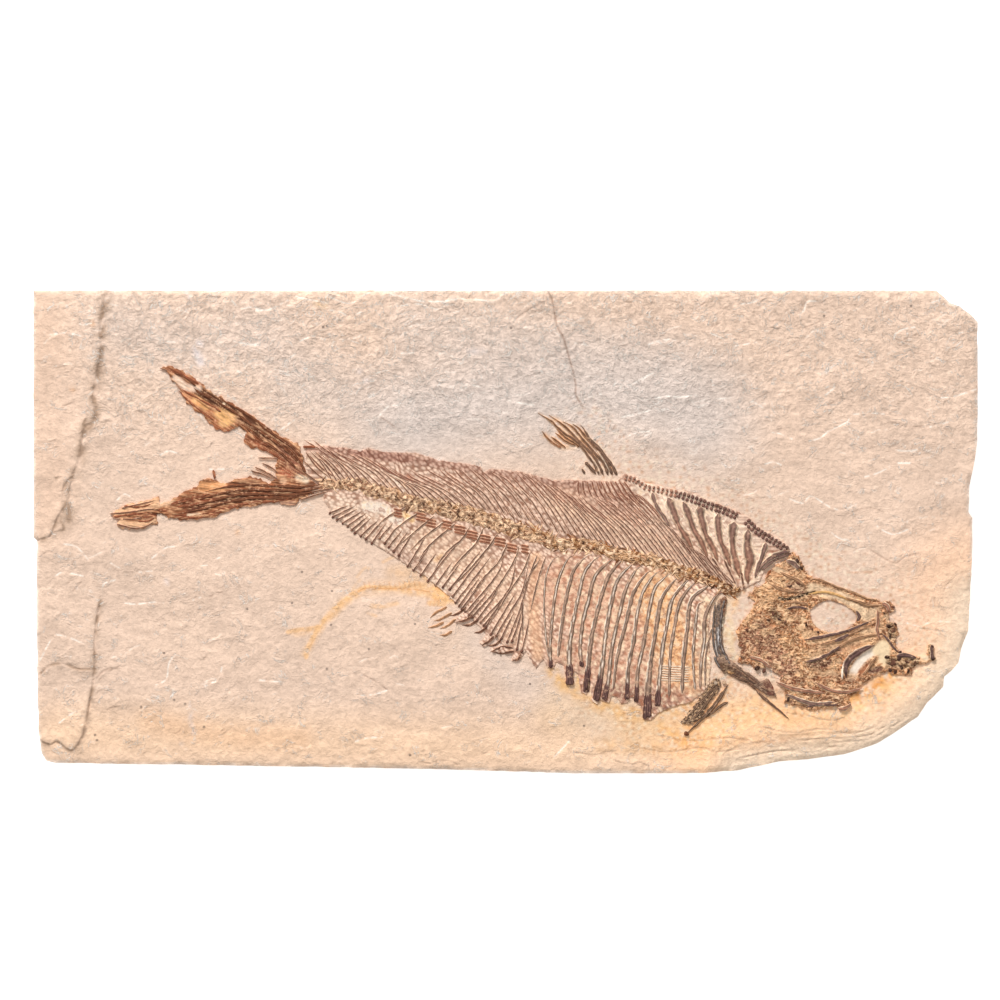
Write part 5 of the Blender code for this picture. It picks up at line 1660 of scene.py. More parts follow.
# %% Beads of the back line
SCUTE_LINE = [
    (626, 477), (636, 480), (646, 487), (657, 489), (670, 492), (680, 494), (691, 498), (700, 501),
    (709, 505),
    (719, 508), (729, 512), (738, 516), (746, 520), (752, 526), (760, 532), (768, 537), (778, 543),
    (788, 550),
]
SCUTE_PITCH = 4.3      # grid steps between two beads
SCUTE_GAP = (738.5, 745.5)
scutes = Heap("back_scutes")
bead_line = smooth_line(SCUTE_LINE, SCUTE_PITCH * STEP / 4)
DARK_BEAD, BROWN_BEAD = pigment(116, 82, 72), pigment(160, 114, 94)
for k in range(0, len(bead_line) - 1, 4):
    here, ahead = cells_of(bead_line[k:k + 2])
    if SCUTE_GAP[0] < here[0] < SCUTE_GAP[1]:
        continue
    lean = (ahead - here) / np.linalg.norm(ahead - here)
    outward = np.array([lean[1], -lean[0]])
    turn = math.atan2(-outward[1], outward[0])
    small = 0.75 if here[0] < 668 else 1.0
    wobble = noise.noise((0.5 * k, 3.0, 0.0))
    sway = noise.noise((0.8 * k, 9.0, 0.0))
    colour = (BROWN_BEAD if here[0] < 676 else DARK_BEAD) * (1 + 0.9 * wobble)
    upper_bead = here + outward * (1.3 + 1.2 * sway) * small
    lower_bead = here - outward * (2.9 + 1.0 * wobble) * small + lean * 1.2 * sway
    dome(scutes, upper_bead, (2.1 + 1.3 * wobble) * small, 0.5, colour, on_skin, 0.8 + 0.3 * sway,
         turn + sway)
    dome(scutes, lower_bead, (1.9 - 1.3 * wobble) * small, 0.4, 1.2 * colour, on_skin, 0.9, turn - sway)
scute_piece = scutes.piece(bone_finish, "fish_skin")
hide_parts("body")

# %% Fan under the back fin
SUPPORT = [(238, 216, 194), (176, 122, 98), (132, 80, 62), (116, 70, 54), (140, 90, 70), (200, 154, 128),
           (240, 220, 200)]
SUPPORT_COUNT = 11
fan = Heap("fin_supports")
for k in range(SUPPORT_COUNT):
    start = np.array([578 + 4.6 * k, 481.5 + 0.2 * noise.noise((1.3 * k, 0, 0))])
    drop = np.array([1.5 + 2.1 * k, 14 + 1.25 * k])
    bone(fan, [start, start + 0.5 * drop + (-0.8, 1.5), start + drop], (1.2, 1.45, 0.8), 0.24,
         row_of(SUPPORT), on_skin, (0.05, 0.35))
fan_piece = fan.piece(bone_finish, "fish_skin")
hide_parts("body")
print("scute beads and", SUPPORT_COUNT, "supports laid")

# %% [markdown]
# ## The crushed head
#
# The skull is a crust of splinters with a smooth window of stone where the eye was. It is built in
# three layers: a fine sheet lifted by sharp-crested noise, strokes of paint for its plates, stains
# and bare windows, and separate rods and lumps for the jaw bones that still have a shape.

# %% Outline and zones of the head
SKULL_BORDER = [
    (793, 552), (800, 558), (804, 568), (808, 575), (829, 584), (850, 592), (864, 598), (880, 601),
    (892, 602), (894, 611), (888, 613), (889, 621), (896, 623), (898, 634), (894, 641), (899, 652),
    (911, 655), (918, 657), (927, 655), (929, 645), (933, 645), (935, 660), (929, 663), (920, 664),
    (911, 669), (912, 674), (905, 676), (896, 674), (886, 672), (874, 676), (862, 684), (858, 692),
    (848, 698),
    (851, 705), (843, 711), (836, 706), (815, 710), (800, 707), (785, 702), (784, 692), (778, 674),
    (770, 667),
    (757, 669), (748, 664), (738, 661), (741, 650), (738, 640), (736, 631), (743, 620), (751, 611),
    (756, 601), (747, 597), (753, 590), (763, 584), (768, 573), (777, 564), (787, 559),
]
EYE_SOCKET = [
    (809, 612), (815, 605), (826, 600), (840, 603), (850, 608), (857, 615), (855, 624), (846, 630),
    (833, 633), (820, 630), (812, 622),
]
CREAM, TAN, SAND = pigment(252, 226, 192), pigment(240, 194, 146), pigment(244, 206, 166)
UMBER, PLUM_BONE, RED_BONE = pigment(70, 46, 36), pigment(112, 76, 74), pigment(146, 88, 66)
# Cells, reach in cells, colour, strength, how crushed it stays, 0 to 1.
SKULL_ZONES = [
    ([(760, 592), (772, 596), (786, 604)], 9, TAN, 0.75, 0.8), ([(752, 602), (744, 618)], 7, TAN, 0.5, 0.6),
    ([(756, 640), (775, 655), (790, 672)], 22, pigment(190, 144, 126), 0.8, 1.0),
    ([(745, 634), (742, 650), (744, 660)], 5, RED_BONE, 0.8, 0.7),
    ([(758, 625), (770, 633)], 9, PLUM_BONE, 0.6, 0.8),
    ([(786, 640), (800, 652), (806, 668)], 12, pigment(222, 174, 130), 0.7, 1.0),
    ([(770, 606), (785, 602), (806, 600)], 9, pigment(196, 146, 102), 0.7, 1.0),
    ([(773, 612), (780, 620)], 7, UMBER, 0.85, 1.0),
    ([(788, 612), (797, 620), (806, 627)], 8, RED_BONE, 0.6, 1.0),
    ([(778, 575), (782, 584)], 8, TAN, 0.8, 0.8),
    ([(788, 583), (798, 588), (806, 592)], 7, PLUM_BONE, 0.85, 0.8),
    ([(784, 562), (793, 570)], 5, RED_BONE, 0.8, 0.6), ([(795, 560), (799, 569)], 5.5, UMBER, 0.75, 0.8),
    ([(772, 570), (776, 576)], 5, pigment(186, 124, 84), 0.8, 0.4),
    ([(776, 569), (786, 573)], 4, CREAM, 0.7, 0.1),
    ([(812, 588), (826, 592), (842, 597), (858, 605)], 8, CREAM, 0.9, 0.3),
    ([(862, 612), (868, 616), (874, 612)], 9, CREAM, 0.85, 0.35),
    ([(861, 604), (876, 606)], 3, RED_BONE, 0.7, 0.4),
    ([(880, 616), (878, 628), (880, 638)], 5, pigment(170, 112, 84), 0.6, 0.5),
    ([(862, 628), (868, 634), (876, 632)], 7, CREAM, 0.75, 0.4),
    ([(824, 640), (850, 637)], 4, CREAM, 0.6, 0.1),
    ([(812, 660), (822, 657)], 5, CREAM, 0.75, 0.1),
    ([(838, 648), (850, 648), (864, 641)], 6, pigment(226, 178, 140), 0.7, 0.3),
    ([(826, 648), (838, 650)], 6, PLUM_BONE, 0.8, 0.9),
    ([(810, 664), (824, 664), (838, 660)], 6, PLUM_BONE, 0.8, 0.9),
    ([(828, 673), (836, 676)], 4, CREAM, 0.75, 0.1),
    ([(806, 634), (826, 641), (846, 635)], 7, SAND, 0.8, 0.5),
    ([(812, 652), (834, 646), (856, 639), (870, 636)], 6, SAND, 0.75, 0.5),
    ([(762, 582), (784, 580), (800, 577)], 7, SAND, 0.75, 0.7),
    ([(814, 670), (822, 674), (832, 672)], 5, SAND, 0.8, 0.4),
    ([(748, 606), (760, 603), (772, 604)], 5, SAND, 0.7, 0.8),
    ([(848, 664), (858, 650), (868, 643)], 3.5, TAN, 0.8, 0.3),
    ([(851, 677), (856, 667), (863, 658), (873, 651)], 6.5, pigment(250, 232, 212), 1.0, 0.0),
    ([(878, 650), (884, 646), (884, 660)], 9, pigment(250, 222, 182), 1.0, 0.05),
    ([(861, 672), (868, 667)], 4.5, pigment(186, 118, 82), 0.9, 0.3),
    ([(871, 671), (879, 669)], 4.5, PLUM_BONE, 0.85, 0.5),
    ([(800, 680), (826, 686), (850, 684)], 15, pigment(176, 124, 96), 0.75, 1.0),
    ([(790, 698), (812, 703), (838, 702)], 8, pigment(150, 104, 82), 0.8, 1.0),
    ([(847, 700), (862, 690), (878, 680), (893, 674)], 4, pigment(214, 150, 92), 0.7, 0.6),
    ([(756, 668), (766, 670)], 5, RED_BONE, 0.85, 0.7),
    ([(787, 697), (790, 701)], 4, pigment(104, 54, 46), 0.9, 0.6),
    ([(892, 662), (904, 662), (914, 662)], 8, UMBER, 0.95, 1.0),
    ([(920, 654), (926, 658)], 4.5, CREAM, 0.9, 0.0),
    ([(931, 647), (932, 660)], 4, UMBER, 0.85, 0.8), ([(890, 605), (886, 609)], 4.5, RED_BONE, 0.8, 0.6),
    ([(890, 626), (893, 637)], 5.5, UMBER, 0.85, 0.9), ([(886, 616), (888, 620)], 3.5, CREAM, 0.6, 0.1),
]
SLIT = [(779, 598), (787, 599), (797, 597), (806, 594), (815, 592)]
SLIT_WIDTH = 2.2                       # in grid steps
ZONE_HARD = 0.4                        # how sharp the zones' edges are, 0 to 1
HEAD_GROUND = pigment(224, 168, 128)
SHEET_MESH = 0.24 * MM                 # fine enough for splinters


def crushed_strength(points):
    return pattern_left(points, SKULL_ZONES, ZONE_HARD)


def head_crests(points):
    """Sharp crests of splinters that slant down towards the jaw."""
    turned = np.column_stack([points @ (0.82, -0.57), points @ (0.57, 0.82)])
    return 1 - np.abs(wander(turned, 1.0 * MM, 31.0, 1.9))


def skull_lift(points):
    """Sharp-crested splinters where the head is crushed, and almost nothing in its bare windows."""
    crushed = crushed_strength(points)
    splinters = head_crests(points)
    lumps = 1 - np.abs(wander(points, 2.3 * MM, 32.0))
    fine = np.abs(wander(points, 0.5 * MM, 33.0))
    lift = (0.42 * splinters ** 2 + 0.34 * lumps ** 2 + 0.22 * fine - 0.3) * crushed - 0.1 * (1 - crushed)
    index, gap, _ = near_line(points, smooth_line(SLIT), SLIT_WIDTH * STEP)
    lift = 0.7 * np.maximum(lift, -0.1)
    lift[index] -= 0.2 * (1 - gap / (SLIT_WIDTH * STEP))
    return lift * MM


def paint_skull(points):
    colours = glazed(points, HEAD_GROUND, SKULL_ZONES, ZONE_HARD)
    crushed = crushed_strength(points)
    crest = head_crests(points)
    # Painted highlight on the crests of the splinters and painted shade between them, on the same crests that
    # lift the sheet.
    colours = glaze(colours, 0.65 * soft(2.4 * crest - 1.7) * crushed, pigment(250, 208, 166))
    colours = glaze(colours, 0.5 * soft(1.0 - 2.0 * crest) * crushed, pigment(92, 56, 42))
    patch = wander(points, 1.7 * MM, 35.5)
    colours = glaze(colours, 0.75 * soft(1.9 * patch - 0.25) * crushed, pigment(250, 214, 174))
    colours = glaze(colours, 0.5 * soft(-1.9 * patch - 0.35) * crushed, pigment(122, 78, 60))
    stroke(colours, points, SLIT, 2.0, pigment(34, 20, 14), 1.0, 0.5)
    ruddy = 1 + crushed[:, None] * (RUDDY - 1) * 1.25
    return colours * ruddy * (1 + 0.1 * wander(points, 1.5 * MM, 34.0) * crushed)[:, None]


skull = bone_sheet("crushed_skull", ragged(SKULL_BORDER, 1.5, 1.0 * MM), SHEET_MESH, skull_lift, paint_skull,
                   crush_finish, holes=[ragged(EYE_SOCKET, 0.7, 0.8 * MM)],
                   uv=lambda p: p, alpha=crushed_strength)
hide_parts("skull")

# %% Rods, plates and lumps of the head
SLATE = [(244, 218, 190), (112, 80, 70), (84, 60, 56), (128, 98, 90), (96, 68, 62), (66, 46, 42),
         (234, 200, 166)]
AMBER = [(246, 216, 180), (196, 148, 110), (128, 86, 62), (204, 158, 118), (124, 84, 62), (100, 66, 48),
         (232, 190, 148)]
SKULL_RODS = [
    ([(804, 640), (818, 637.5), (832, 634.5), (846, 631), (860, 625.5), (871, 621)],
     (1.6, 2.0, 1.9, 1.5, 1.2), 0.5, SLATE),
    ([(817, 645), (832, 642), (848, 634.5), (862, 629), (876, 622)], (1.4, 1.8, 1.4, 1.0), 0.4, AMBER),
    ([(832, 642), (842, 638), (850, 633.5)], (1.8, 2.2, 1.3), 0.55, SLATE),
    ([(805, 662), (816, 659.5), (824, 656), (834, 650.5), (842, 645)], (1.4, 1.8, 1.7, 1.3), 0.45, SLATE),
    ([(834, 650), (848, 642), (862, 637), (878, 634), (884, 632)], (1.0, 1.5, 1.4, 0.9), 0.4, AMBER),
    ([(846, 678), (845.5, 668), (849, 659.5), (857, 653), (866, 648), (874, 645)],
     (1.5, 3.6, 4.2, 3.4, 1.2), 0.75, SLATE),
    ([(842, 679), (842.5, 670), (844, 662)], (1.1, 1.1, 0.9), 0.5, [(252, 236, 216)] * 7),
    ([(807, 578), (820, 580), (836, 586.5), (852, 592), (866, 598), (880, 601)],
     (0.9, 1.2, 1.2, 1.1), 0.3, AMBER),
    ([(842, 597), (856, 601), (868, 605), (884, 605)], (1.1, 1.6, 1.6, 1.2), 0.35, AMBER),
    ([(808, 594), (824, 592), (838, 595), (850, 601)], (1.1, 1.2, 0.9), 0.3, [(220, 172, 112)] * 7),
    ([(856, 611), (859, 616), (857, 621)], (1.6, 2.2, 1.4), 0.4, SLATE),
    ([(877, 609), (878, 620), (877, 630), (880, 640)], (1.4, 1.9, 1.8, 1.3), 0.4, RUSTY),
    ([(882, 603), (887, 606), (889, 612)], (2.2, 2.6, 2.0), 0.5, RUSTY),
    ([(882, 634), (888, 640), (892, 646), (898, 652)], (1.2, 1.4, 1.2), 0.4, SLATE),
    ([(770, 560), (779, 554), (790, 551)], (1.5, 1.8, 1.4), 0.5, SLATE),
    ([(786, 561), (793, 563), (799, 569)], (2.6, 3.4, 2.4), 0.55, PLUM),
    ([(748, 657), (760, 660), (770, 668)], (1.8, 2.4, 1.8), 0.4, RUSTY),
    ([(776, 682), (790, 688), (806, 691), (824, 693)], (1.8, 2.4, 2.2, 1.6), 0.45, RUSTY),
    ([(786, 694), (800, 700), (816, 704), (834, 702)], (1.8, 2.4, 2.4, 1.6), 0.45, PLUM),
    ([(806, 707), (818, 704), (832, 705), (838, 704)], (1.4, 1.7, 1.3), 0.4, SLATE),
    ([(814, 682), (830, 690), (846, 692), (862, 688)], (1.6, 2.2, 2.0, 1.4), 0.4, RUSTY),
    ([(838, 708), (844, 708.5), (851, 704)], (2.2, 2.8, 1.8), 0.4, RUSTY),
    ([(863, 675), (869, 667), (876, 656)], (1.4, 1.8, 1.2), 0.4, AMBER),
    ([(896, 656), (906, 655), (916, 658)], (2.2, 2.8, 1.8), 0.6, SLATE),
    ([(931, 645), (931.5, 652), (932.5, 660)], (2.0, 1.7, 2.6), 0.55, SLATE),
    ([(780, 572), (790, 577), (800, 582), (806, 588)], (1.6, 2.2, 2.2, 1.6), 0.4, AMBER),
    ([(770, 584), (784, 590), (798, 592)], (1.4, 1.9, 1.4), 0.4, AMBER),
    ([(783, 603), (796, 602), (808, 604)], (1.3, 1.6, 1.2), 0.35, AMBER),
    ([(786, 609), (798, 607), (808, 609)], (1.2, 1.5, 1.1), 0.35, SLATE),
]
SKULL_LUMPS = [
    (887, 657, 3.6), (893, 663, 4.2), (899, 658, 3.4), (901, 667, 3.8), (907, 662, 3.4), (912, 659, 2.8),
    (908, 671, 2.8), (915, 662, 2.2), (890, 670, 2.8), (888, 626, 3.0), (893, 631, 3.6), (890, 637, 2.8),
    (895, 624, 2.2), (893, 607, 2.6), (932, 647, 2.4), (933, 659, 2.6), (773, 614, 3.4), (779, 619, 3.6),
    (768, 620, 2.6), (785, 622, 2.4), (797, 561, 3.0), (801, 568, 2.6), (798, 583, 3.0), (790, 586, 2.6),
    (806, 625, 2.4), (812, 629, 2.2), (818, 632, 2.0), (757, 668, 3.4), (764, 671, 3.2), (788, 699, 3.4),
    (884, 613, 2.0), (803, 566, 1.8), (900, 652, 2.2), (895, 672, 2.6), (747, 630, 2.6), (742, 657, 2.4),
]


def on_skull(line):
    return skin_height(line) + 0.5 * np.maximum(skull_lift(line), 0.0)


head_chips = Heap("head_slivers")
for seed, count, reach, half in ((11, 380, (2, 6), (0.4, 0.9)), (12, 130, (4, 10), (0.5, 1.1))):
    places = scatter(SKULL_BORDER, count, seed)
    places = places[~within(places, np.array(EYE_SOCKET, float))]
    places = places[crushed_strength(spots(places)) > 0.55]
    turns = -0.5 + 1.6 * wander(spots(places), 3.5 * MM, 35.0 + seed)
    slivers(head_chips, places, turns, reach, half, paint_skull, on_skull, seed, 0.5)
head_chip_piece = head_chips.piece(bone_finish, "skull_bone")
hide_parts("skull")

rods = Heap("jaw_bones")
for cells, widths, height, profile in SKULL_RODS:
    bone(rods, cells, widths, height, row_of(profile), on_skull, (0.15, 0.12), 0.2)
for k, (col, row, radius) in enumerate(SKULL_LUMPS):
    colour = (UMBER, pigment(112, 74, 58), pigment(80, 56, 48))[k % 3]
    dome(rods, (col, row), radius * 0.8, 0.4, colour, on_skull, 0.6 + 0.25 * math.sin(k), 0.7 * k, 9)
rod_piece = rods.piece(bone_finish, "skull_bone")
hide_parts("skull")
print("jaw rods:", len(SKULL_RODS), "lumps:", len(SKULL_LUMPS))

# %% [markdown]
# ## Shoulder girdle and pectoral fin
#
# Behind the head stands the tallest bone of the slab, the blue-black shoulder girdle. It is a
# bundle of parallel bars that sweep down and forward into a spine. The pectoral fin hangs from its
# foot as a narrow bundle of rays in a halo of orange stain.

# %% Girdle bars
# The light middle tone of these rows is a painted gloss highlight, and the pale outer tones are painted
# highlights too.
INK = [(240, 214, 186), (96, 80, 74), (76, 66, 64), (172, 158, 150), (92, 80, 76), (66, 56, 54),
       (232, 204, 176)]
INK_BROWN = [(240, 206, 172), (124, 88, 68), (86, 60, 48), (156, 118, 94), (92, 66, 54), (60, 44, 37),
             (224, 186, 152)]
GIRDLE_BORDER = [
    (717, 604), (720, 598), (725, 596), (727, 599), (725, 610), (723, 622), (722, 638), (724, 650),
    (729, 658),
    (739, 667), (750, 674), (760, 682), (767, 678), (773, 688), (776, 697), (768, 695), (761, 691),
    (752, 686),
    (744, 680), (735, 675), (724, 673), (720, 668), (717, 657), (715, 642), (715, 624), (716, 612),
]
GIRDLE_ZONES = [
    ([(724, 598), (725, 612)], 5, pigment(134, 92, 70), 0.9),
    ([(716, 606), (714, 625), (716, 655)], 4, pigment(104, 90, 84), 0.7),
    ([(721, 612), (719.5, 640), (724, 655)], 3, pigment(92, 80, 76), 0.85),
    ([(718, 628), (718, 645)], 1.6, pigment(214, 206, 200), 0.9),
    ([(724, 618), (722.5, 626)], 1.4, pigment(214, 204, 180), 0.9),
    ([(722, 667), (736, 675)], 7, pigment(96, 64, 44), 0.8),
    ([(728, 672), (733, 674)], 2, pigment(206, 150, 96), 0.8),
    ([(740, 672), (756, 684)], 6, pigment(92, 66, 58), 0.8),
    ([(766, 684), (771, 694)], 5, pigment(126, 80, 66), 0.9),
]
GIRDLE_BARS = [
    ([(715, 602), (713.5, 618), (712.8, 634), (714, 648), (718, 662)], (0.9, 1.2, 1.3, 1.2, 1.0), 0.8, INK),
    ([(720, 600), (717.5, 616), (716.5, 634), (718, 648), (723, 661)], (1.2, 1.6, 1.7, 1.6, 1.3), 1.0, INK),
    ([(725, 597), (721.5, 612), (720, 630), (721, 645), (727, 659), (733, 668)],
     (1.5, 1.9, 2.1, 2.0, 1.5), 1.15, INK),
    ([(718.5, 628), (718, 638), (719, 646)], (0.7, 1.0, 0.7), 1.05, [(226, 220, 220)] * 7),
    ([(715.4, 640), (716.4, 650), (719, 658)], (0.6, 0.8, 0.6), 1.0, [(214, 204, 196)] * 7),
    ([(714, 656), (719, 666), (728, 672)], (1.3, 1.8, 1.5), 0.6, INK),
    ([(728, 664), (740, 671), (752, 680), (764, 688), (775, 695)],
     (2.6, 3.4, 3.2, 2.6, 1.2), 1.0, INK_BROWN),
    ([(730, 672), (744, 679), (758, 688), (770, 696)], (1.8, 2.4, 2.0, 1.0), 0.8, INK_BROWN),
    ([(722, 668), (734, 676), (748, 683), (756, 690)], (1.6, 2.0, 1.4), 0.6, INK_BROWN),
    ([(756, 690), (764, 698), (775, 707), (789, 719)], (1.6, 1.8, 1.2, 0.6), 0.5, INK_BROWN),
    ([(766, 679), (770, 686), (774, 695)], (2.4, 3.0, 1.4), 0.6,
     [(150, 84, 64), (120, 62, 50), (134, 72, 56), (150, 88, 68),
                                                                 (126, 68, 54), (104, 54, 44),
                                                                 (160, 100, 78)]),
    ([(709, 600), (706, 612), (705, 626)], (1.2, 1.4, 1.0), 0.5, INK_BROWN),
]


def on_stone(line):
    return stone_height(line) + 0.1 * MM


def paint_girdle(points):
    colours = glazed(points, pigment(160, 128, 108), GIRDLE_ZONES, ZONE_HARD)
    return colours * (1 + 0.25 * wander(points, 0.8 * MM, 37.0))[:, None]


girdle_sheet = bone_sheet("girdle_sheet", ragged(GIRDLE_BORDER, 0.8, 0.8 * MM), SHEET_MESH,
                          lambda p: 0.35 * MM * (0.6 + 0.5 * np.abs(wander(p, 0.7 * MM, 36.0))), paint_girdle,
                          crush_finish, alpha=lambda p: np.full(len(p), 0.35))
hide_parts("shoulder_girdle")
girdle = Heap("girdle_bars")
for cells, widths, height, profile in GIRDLE_BARS:
    bone(girdle, cells, 0.86 * np.array(widths), 0.7 * height, row_of(profile), on_stone, (0.08, 0.12), 0.28)
girdle_piece = girdle.piece(bone_finish, "dark_bone")
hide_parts("shoulder_girdle")

# %% Pectoral fin rays
FIN_ROW = [(236, 190, 142), (112, 80, 62), (72, 54, 46), (168, 134, 108), (86, 62, 50), (64, 46, 38),
           (230, 180, 130)]
FIN_BORDER = [
    (711, 682), (714, 678), (719, 679), (721, 685), (717, 693), (711, 701), (705, 710), (699, 719),
    (692, 724),
    (684, 724), (681, 722), (687, 714), (695, 704), (702, 695), (707, 687),
]
PECTORAL = [
    ([(716, 683), (708, 693), (699, 704), (691, 713), (683, 721)], (1.3, 1.6, 1.5, 1.0), 0.5),
    ([(719, 685), (711, 697), (703, 708), (695, 717), (688, 722)], (1.3, 1.7, 1.6, 1.0), 0.55),
    ([(714, 688), (705, 699), (696, 709)], (0.9, 1.2, 0.8), 0.5),
    ([(728, 684), (720, 698), (711, 710), (700, 721), (686, 734)], (1.0, 1.6, 1.8, 1.6, 1.2), 0.4),
    ([(724, 690), (715, 703), (705, 714), (697, 721)], (1.0, 1.4, 1.2, 0.8), 0.35),
    ([(728, 702), (719, 707), (711, 714), (706, 718)], (1.4, 1.9, 1.2, 0.8), 0.4),
]
FIN_LUMPS = [
    ((686.5, 733.5), 2.4, pigment(120, 72, 48)), ((715.5, 683), 2.6, pigment(196, 170, 146)),
    ((724.5, 683), 2.0, pigment(206, 170, 138)),
]


def paint_fin(points):
    fleck = wander(points, 0.5 * MM, 38.0)
    colours = np.tile(pigment(126, 96, 78), (len(points), 1))
    colours = glaze(colours, 0.9 * soft(1.8 * fleck - 0.15), pigment(238, 192, 146))
    return glaze(colours, 0.8 * soft(-1.4 * fleck - 0.3), pigment(72, 58, 54))


fin_sheet = bone_sheet("pectoral_sheet", ragged(FIN_BORDER, 1.0, 0.7 * MM), SHEET_MESH,
                       lambda p: 0.2 * MM * np.abs(wander(p, 0.6 * MM, 39.0)), paint_fin, crush_finish,
                       alpha=lambda p: np.full(len(p), 0.6))
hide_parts("pectoral_fin")
pectoral = Heap("pectoral_rays")
for cells, widths, height in PECTORAL:
    bone(pectoral, cells, widths, height, row_of(FIN_ROW), on_stone, (0.08, 0.2), 0.25)
for cell, radius, colour in FIN_LUMPS:
    dome(pectoral, cell, radius, 0.6, colour, on_stone)
pectoral_piece = pectoral.piece(bone_finish, "fin_bone")
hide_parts("pectoral_fin")

# %% [markdown]
# ## The back fin
#
# Only the front rays of the back fin are left. They rise as one dark stem and part into thin
# rays, each dark with pale edges.

# %% Back fin rays
STEM = [(244, 214, 184), (118, 84, 66), (84, 60, 49), (150, 118, 98), (92, 66, 54), (70, 50, 42),
        (238, 204, 172)]
ENDS = [(246, 208, 168), (184, 122, 84), (138, 82, 56), (196, 138, 98), (132, 78, 54), (110, 66, 47),
        (242, 198, 156)]
LINE = [(248, 218, 182), (218, 164, 120), (116, 74, 52), (92, 58, 43), (122, 80, 57), (220, 168, 126),
        (248, 216, 180)]
BACK_FIN = [
    ([(617, 475), (612.7, 466.6), (606.9, 458.6), (598.9, 448.2), (589.7, 439), (585, 431), (580.5, 424.7)],
     (2.0, 2.0, 1.7, 1.2), 0.5, STEM, STEM),
    ([(612, 475), (610.4, 468.9), (604.6, 458.6), (597.7, 449.4), (589.7, 441.3), (582.8, 433.3),
      (578, 427.6), (572.5, 424)],
     (1.7, 1.6, 1.5, 1.3), 0.5, STEM, LINE),
    ([(608, 475), (603.5, 463), (595.4, 454), (588.6, 446), (581.7, 438), (576, 431), (570, 425),
      (563, 421.8)], (1.5, 1.5, 1.5, 1.3), 0.5, STEM, LINE),
    ([(603.5, 475), (596.6, 461), (589.7, 451.7), (582.8, 444.8), (576, 438), (569, 430.4), (562, 424),
      (549, 415)], (1.5, 1.5, 1.6, 1.5, 1.2), 0.45, STEM, LINE),
    ([(599, 475), (594.3, 464.3), (587.4, 455), (580.5, 446), (573.6, 439), (564.4, 433.3), (557.6, 427.6),
      (550.7, 420.7), (538, 413)],
     (1.4, 1.5, 1.6, 1.5, 1.1), 0.45, STEM, LINE),
    ([(579, 447), (573.6, 442.5), (564.4, 436.7), (556.4, 428.7)], (1.3, 1.5, 1.2), 0.35, LINE, LINE),
    ([(575, 445.4), (564.4, 440.2), (555.3, 432.7)], (1.2, 1.5, 1.1), 0.35, LINE, LINE),
    ([(565.6, 447.6), (558.7, 442.5), (551.2, 436.7)], (1.2, 1.5, 1.1), 0.35, LINE, LINE),
    ([(561, 447.6), (554, 443.6), (547.2, 438), (542, 431)], (1.1, 1.5, 1.1), 0.35, ENDS, LINE),
    ([(585, 462), (590, 467), (596, 474)], (1.8, 2.2, 1.6), 0.4, STEM, STEM),
    ([(581.7, 468.5), (585, 474)], (1.3, 1.2), 0.3, STEM, STEM),
    ([(590, 456), (597, 466), (601, 475)], (0.9, 1.1, 0.9), 0.4, [(236, 208, 182)] * 7,
     [(226, 196, 170)] * 7),
    ([(597, 450), (604, 461), (610, 472)], (0.7, 0.9, 0.8), 0.55, [(240, 212, 186)] * 7,
     [(214, 190, 168)] * 7),
]
back_fin = Heap("back_fin_rays")
for cells, widths, height, first, last in BACK_FIN:
    rows = np.array([row_of(first), row_of(last)])
    bone(back_fin, cells, widths, height, rows, on_stone, (0.05, 0.2), 0.22)
back_fin_piece = back_fin.piece(bone_finish, "fin_bone")
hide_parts("dorsal_fin")
print("back fin rays:", len(BACK_FIN))

# %% [markdown]
# ## The forked tail
#
# Each lobe of the tail is a thin sheet of fused rays. Fibres run along it, dark brown at its front
# edge, red and orange where the bone has thinned, and bare at the tips. The sheet carries the
# colour, and loose rays lie on it.

# %% Tail sheet
TAIL_BORDER = [
    (163, 368), (173, 367), (183, 371), (192, 377), (201, 384), (208, 391), (222, 398), (234, 405),
    (244, 413), (254, 415), (265, 425), (272, 430), (285, 438), (300, 446), (303, 455), (304, 468),
    (308, 479), (318, 484), (320, 488), (314, 494), (299, 499), (297, 504), (290, 506), (280, 503),
    (263, 503), (253, 506), (237, 508), (225, 512), (212, 518), (199, 519), (179, 520), (167, 518),
    (161, 512), (157, 514), (156, 523), (143, 528), (130, 530), (117, 526), (118, 519), (110, 514),
    (120, 508), (135, 503), (147, 500), (158, 498), (160, 505), (171, 501), (180, 495), (197, 487),
    (200, 481), (213, 479), (225, 484), (239, 479), (250, 477), (260, 479), (270, 482), (277, 478),
    (275, 466), (277, 457), (267, 451), (250, 448), (244, 441), (246, 432), (238, 426), (232, 430),
    (226, 432), (217, 430), (209, 423), (203, 415), (196, 411), (187, 403), (183, 395), (175, 384),
    (169, 375),
]
TAIL_MESH = 0.26 * MM
LOBE_LENGTH = 0.04                     # metres along a lobe
RAY_SQUEEZE = 0.12
UPPER_LOBE = [(306, 468), (297, 453), (280, 441), (262, 428), (243, 414), (222, 402), (200, 390),
              (170, 371)]
LOWER_LOBE = [(318, 487), (295, 490), (265, 490), (235, 493), (205, 502), (170, 510), (140, 512),
              (110, 518)]
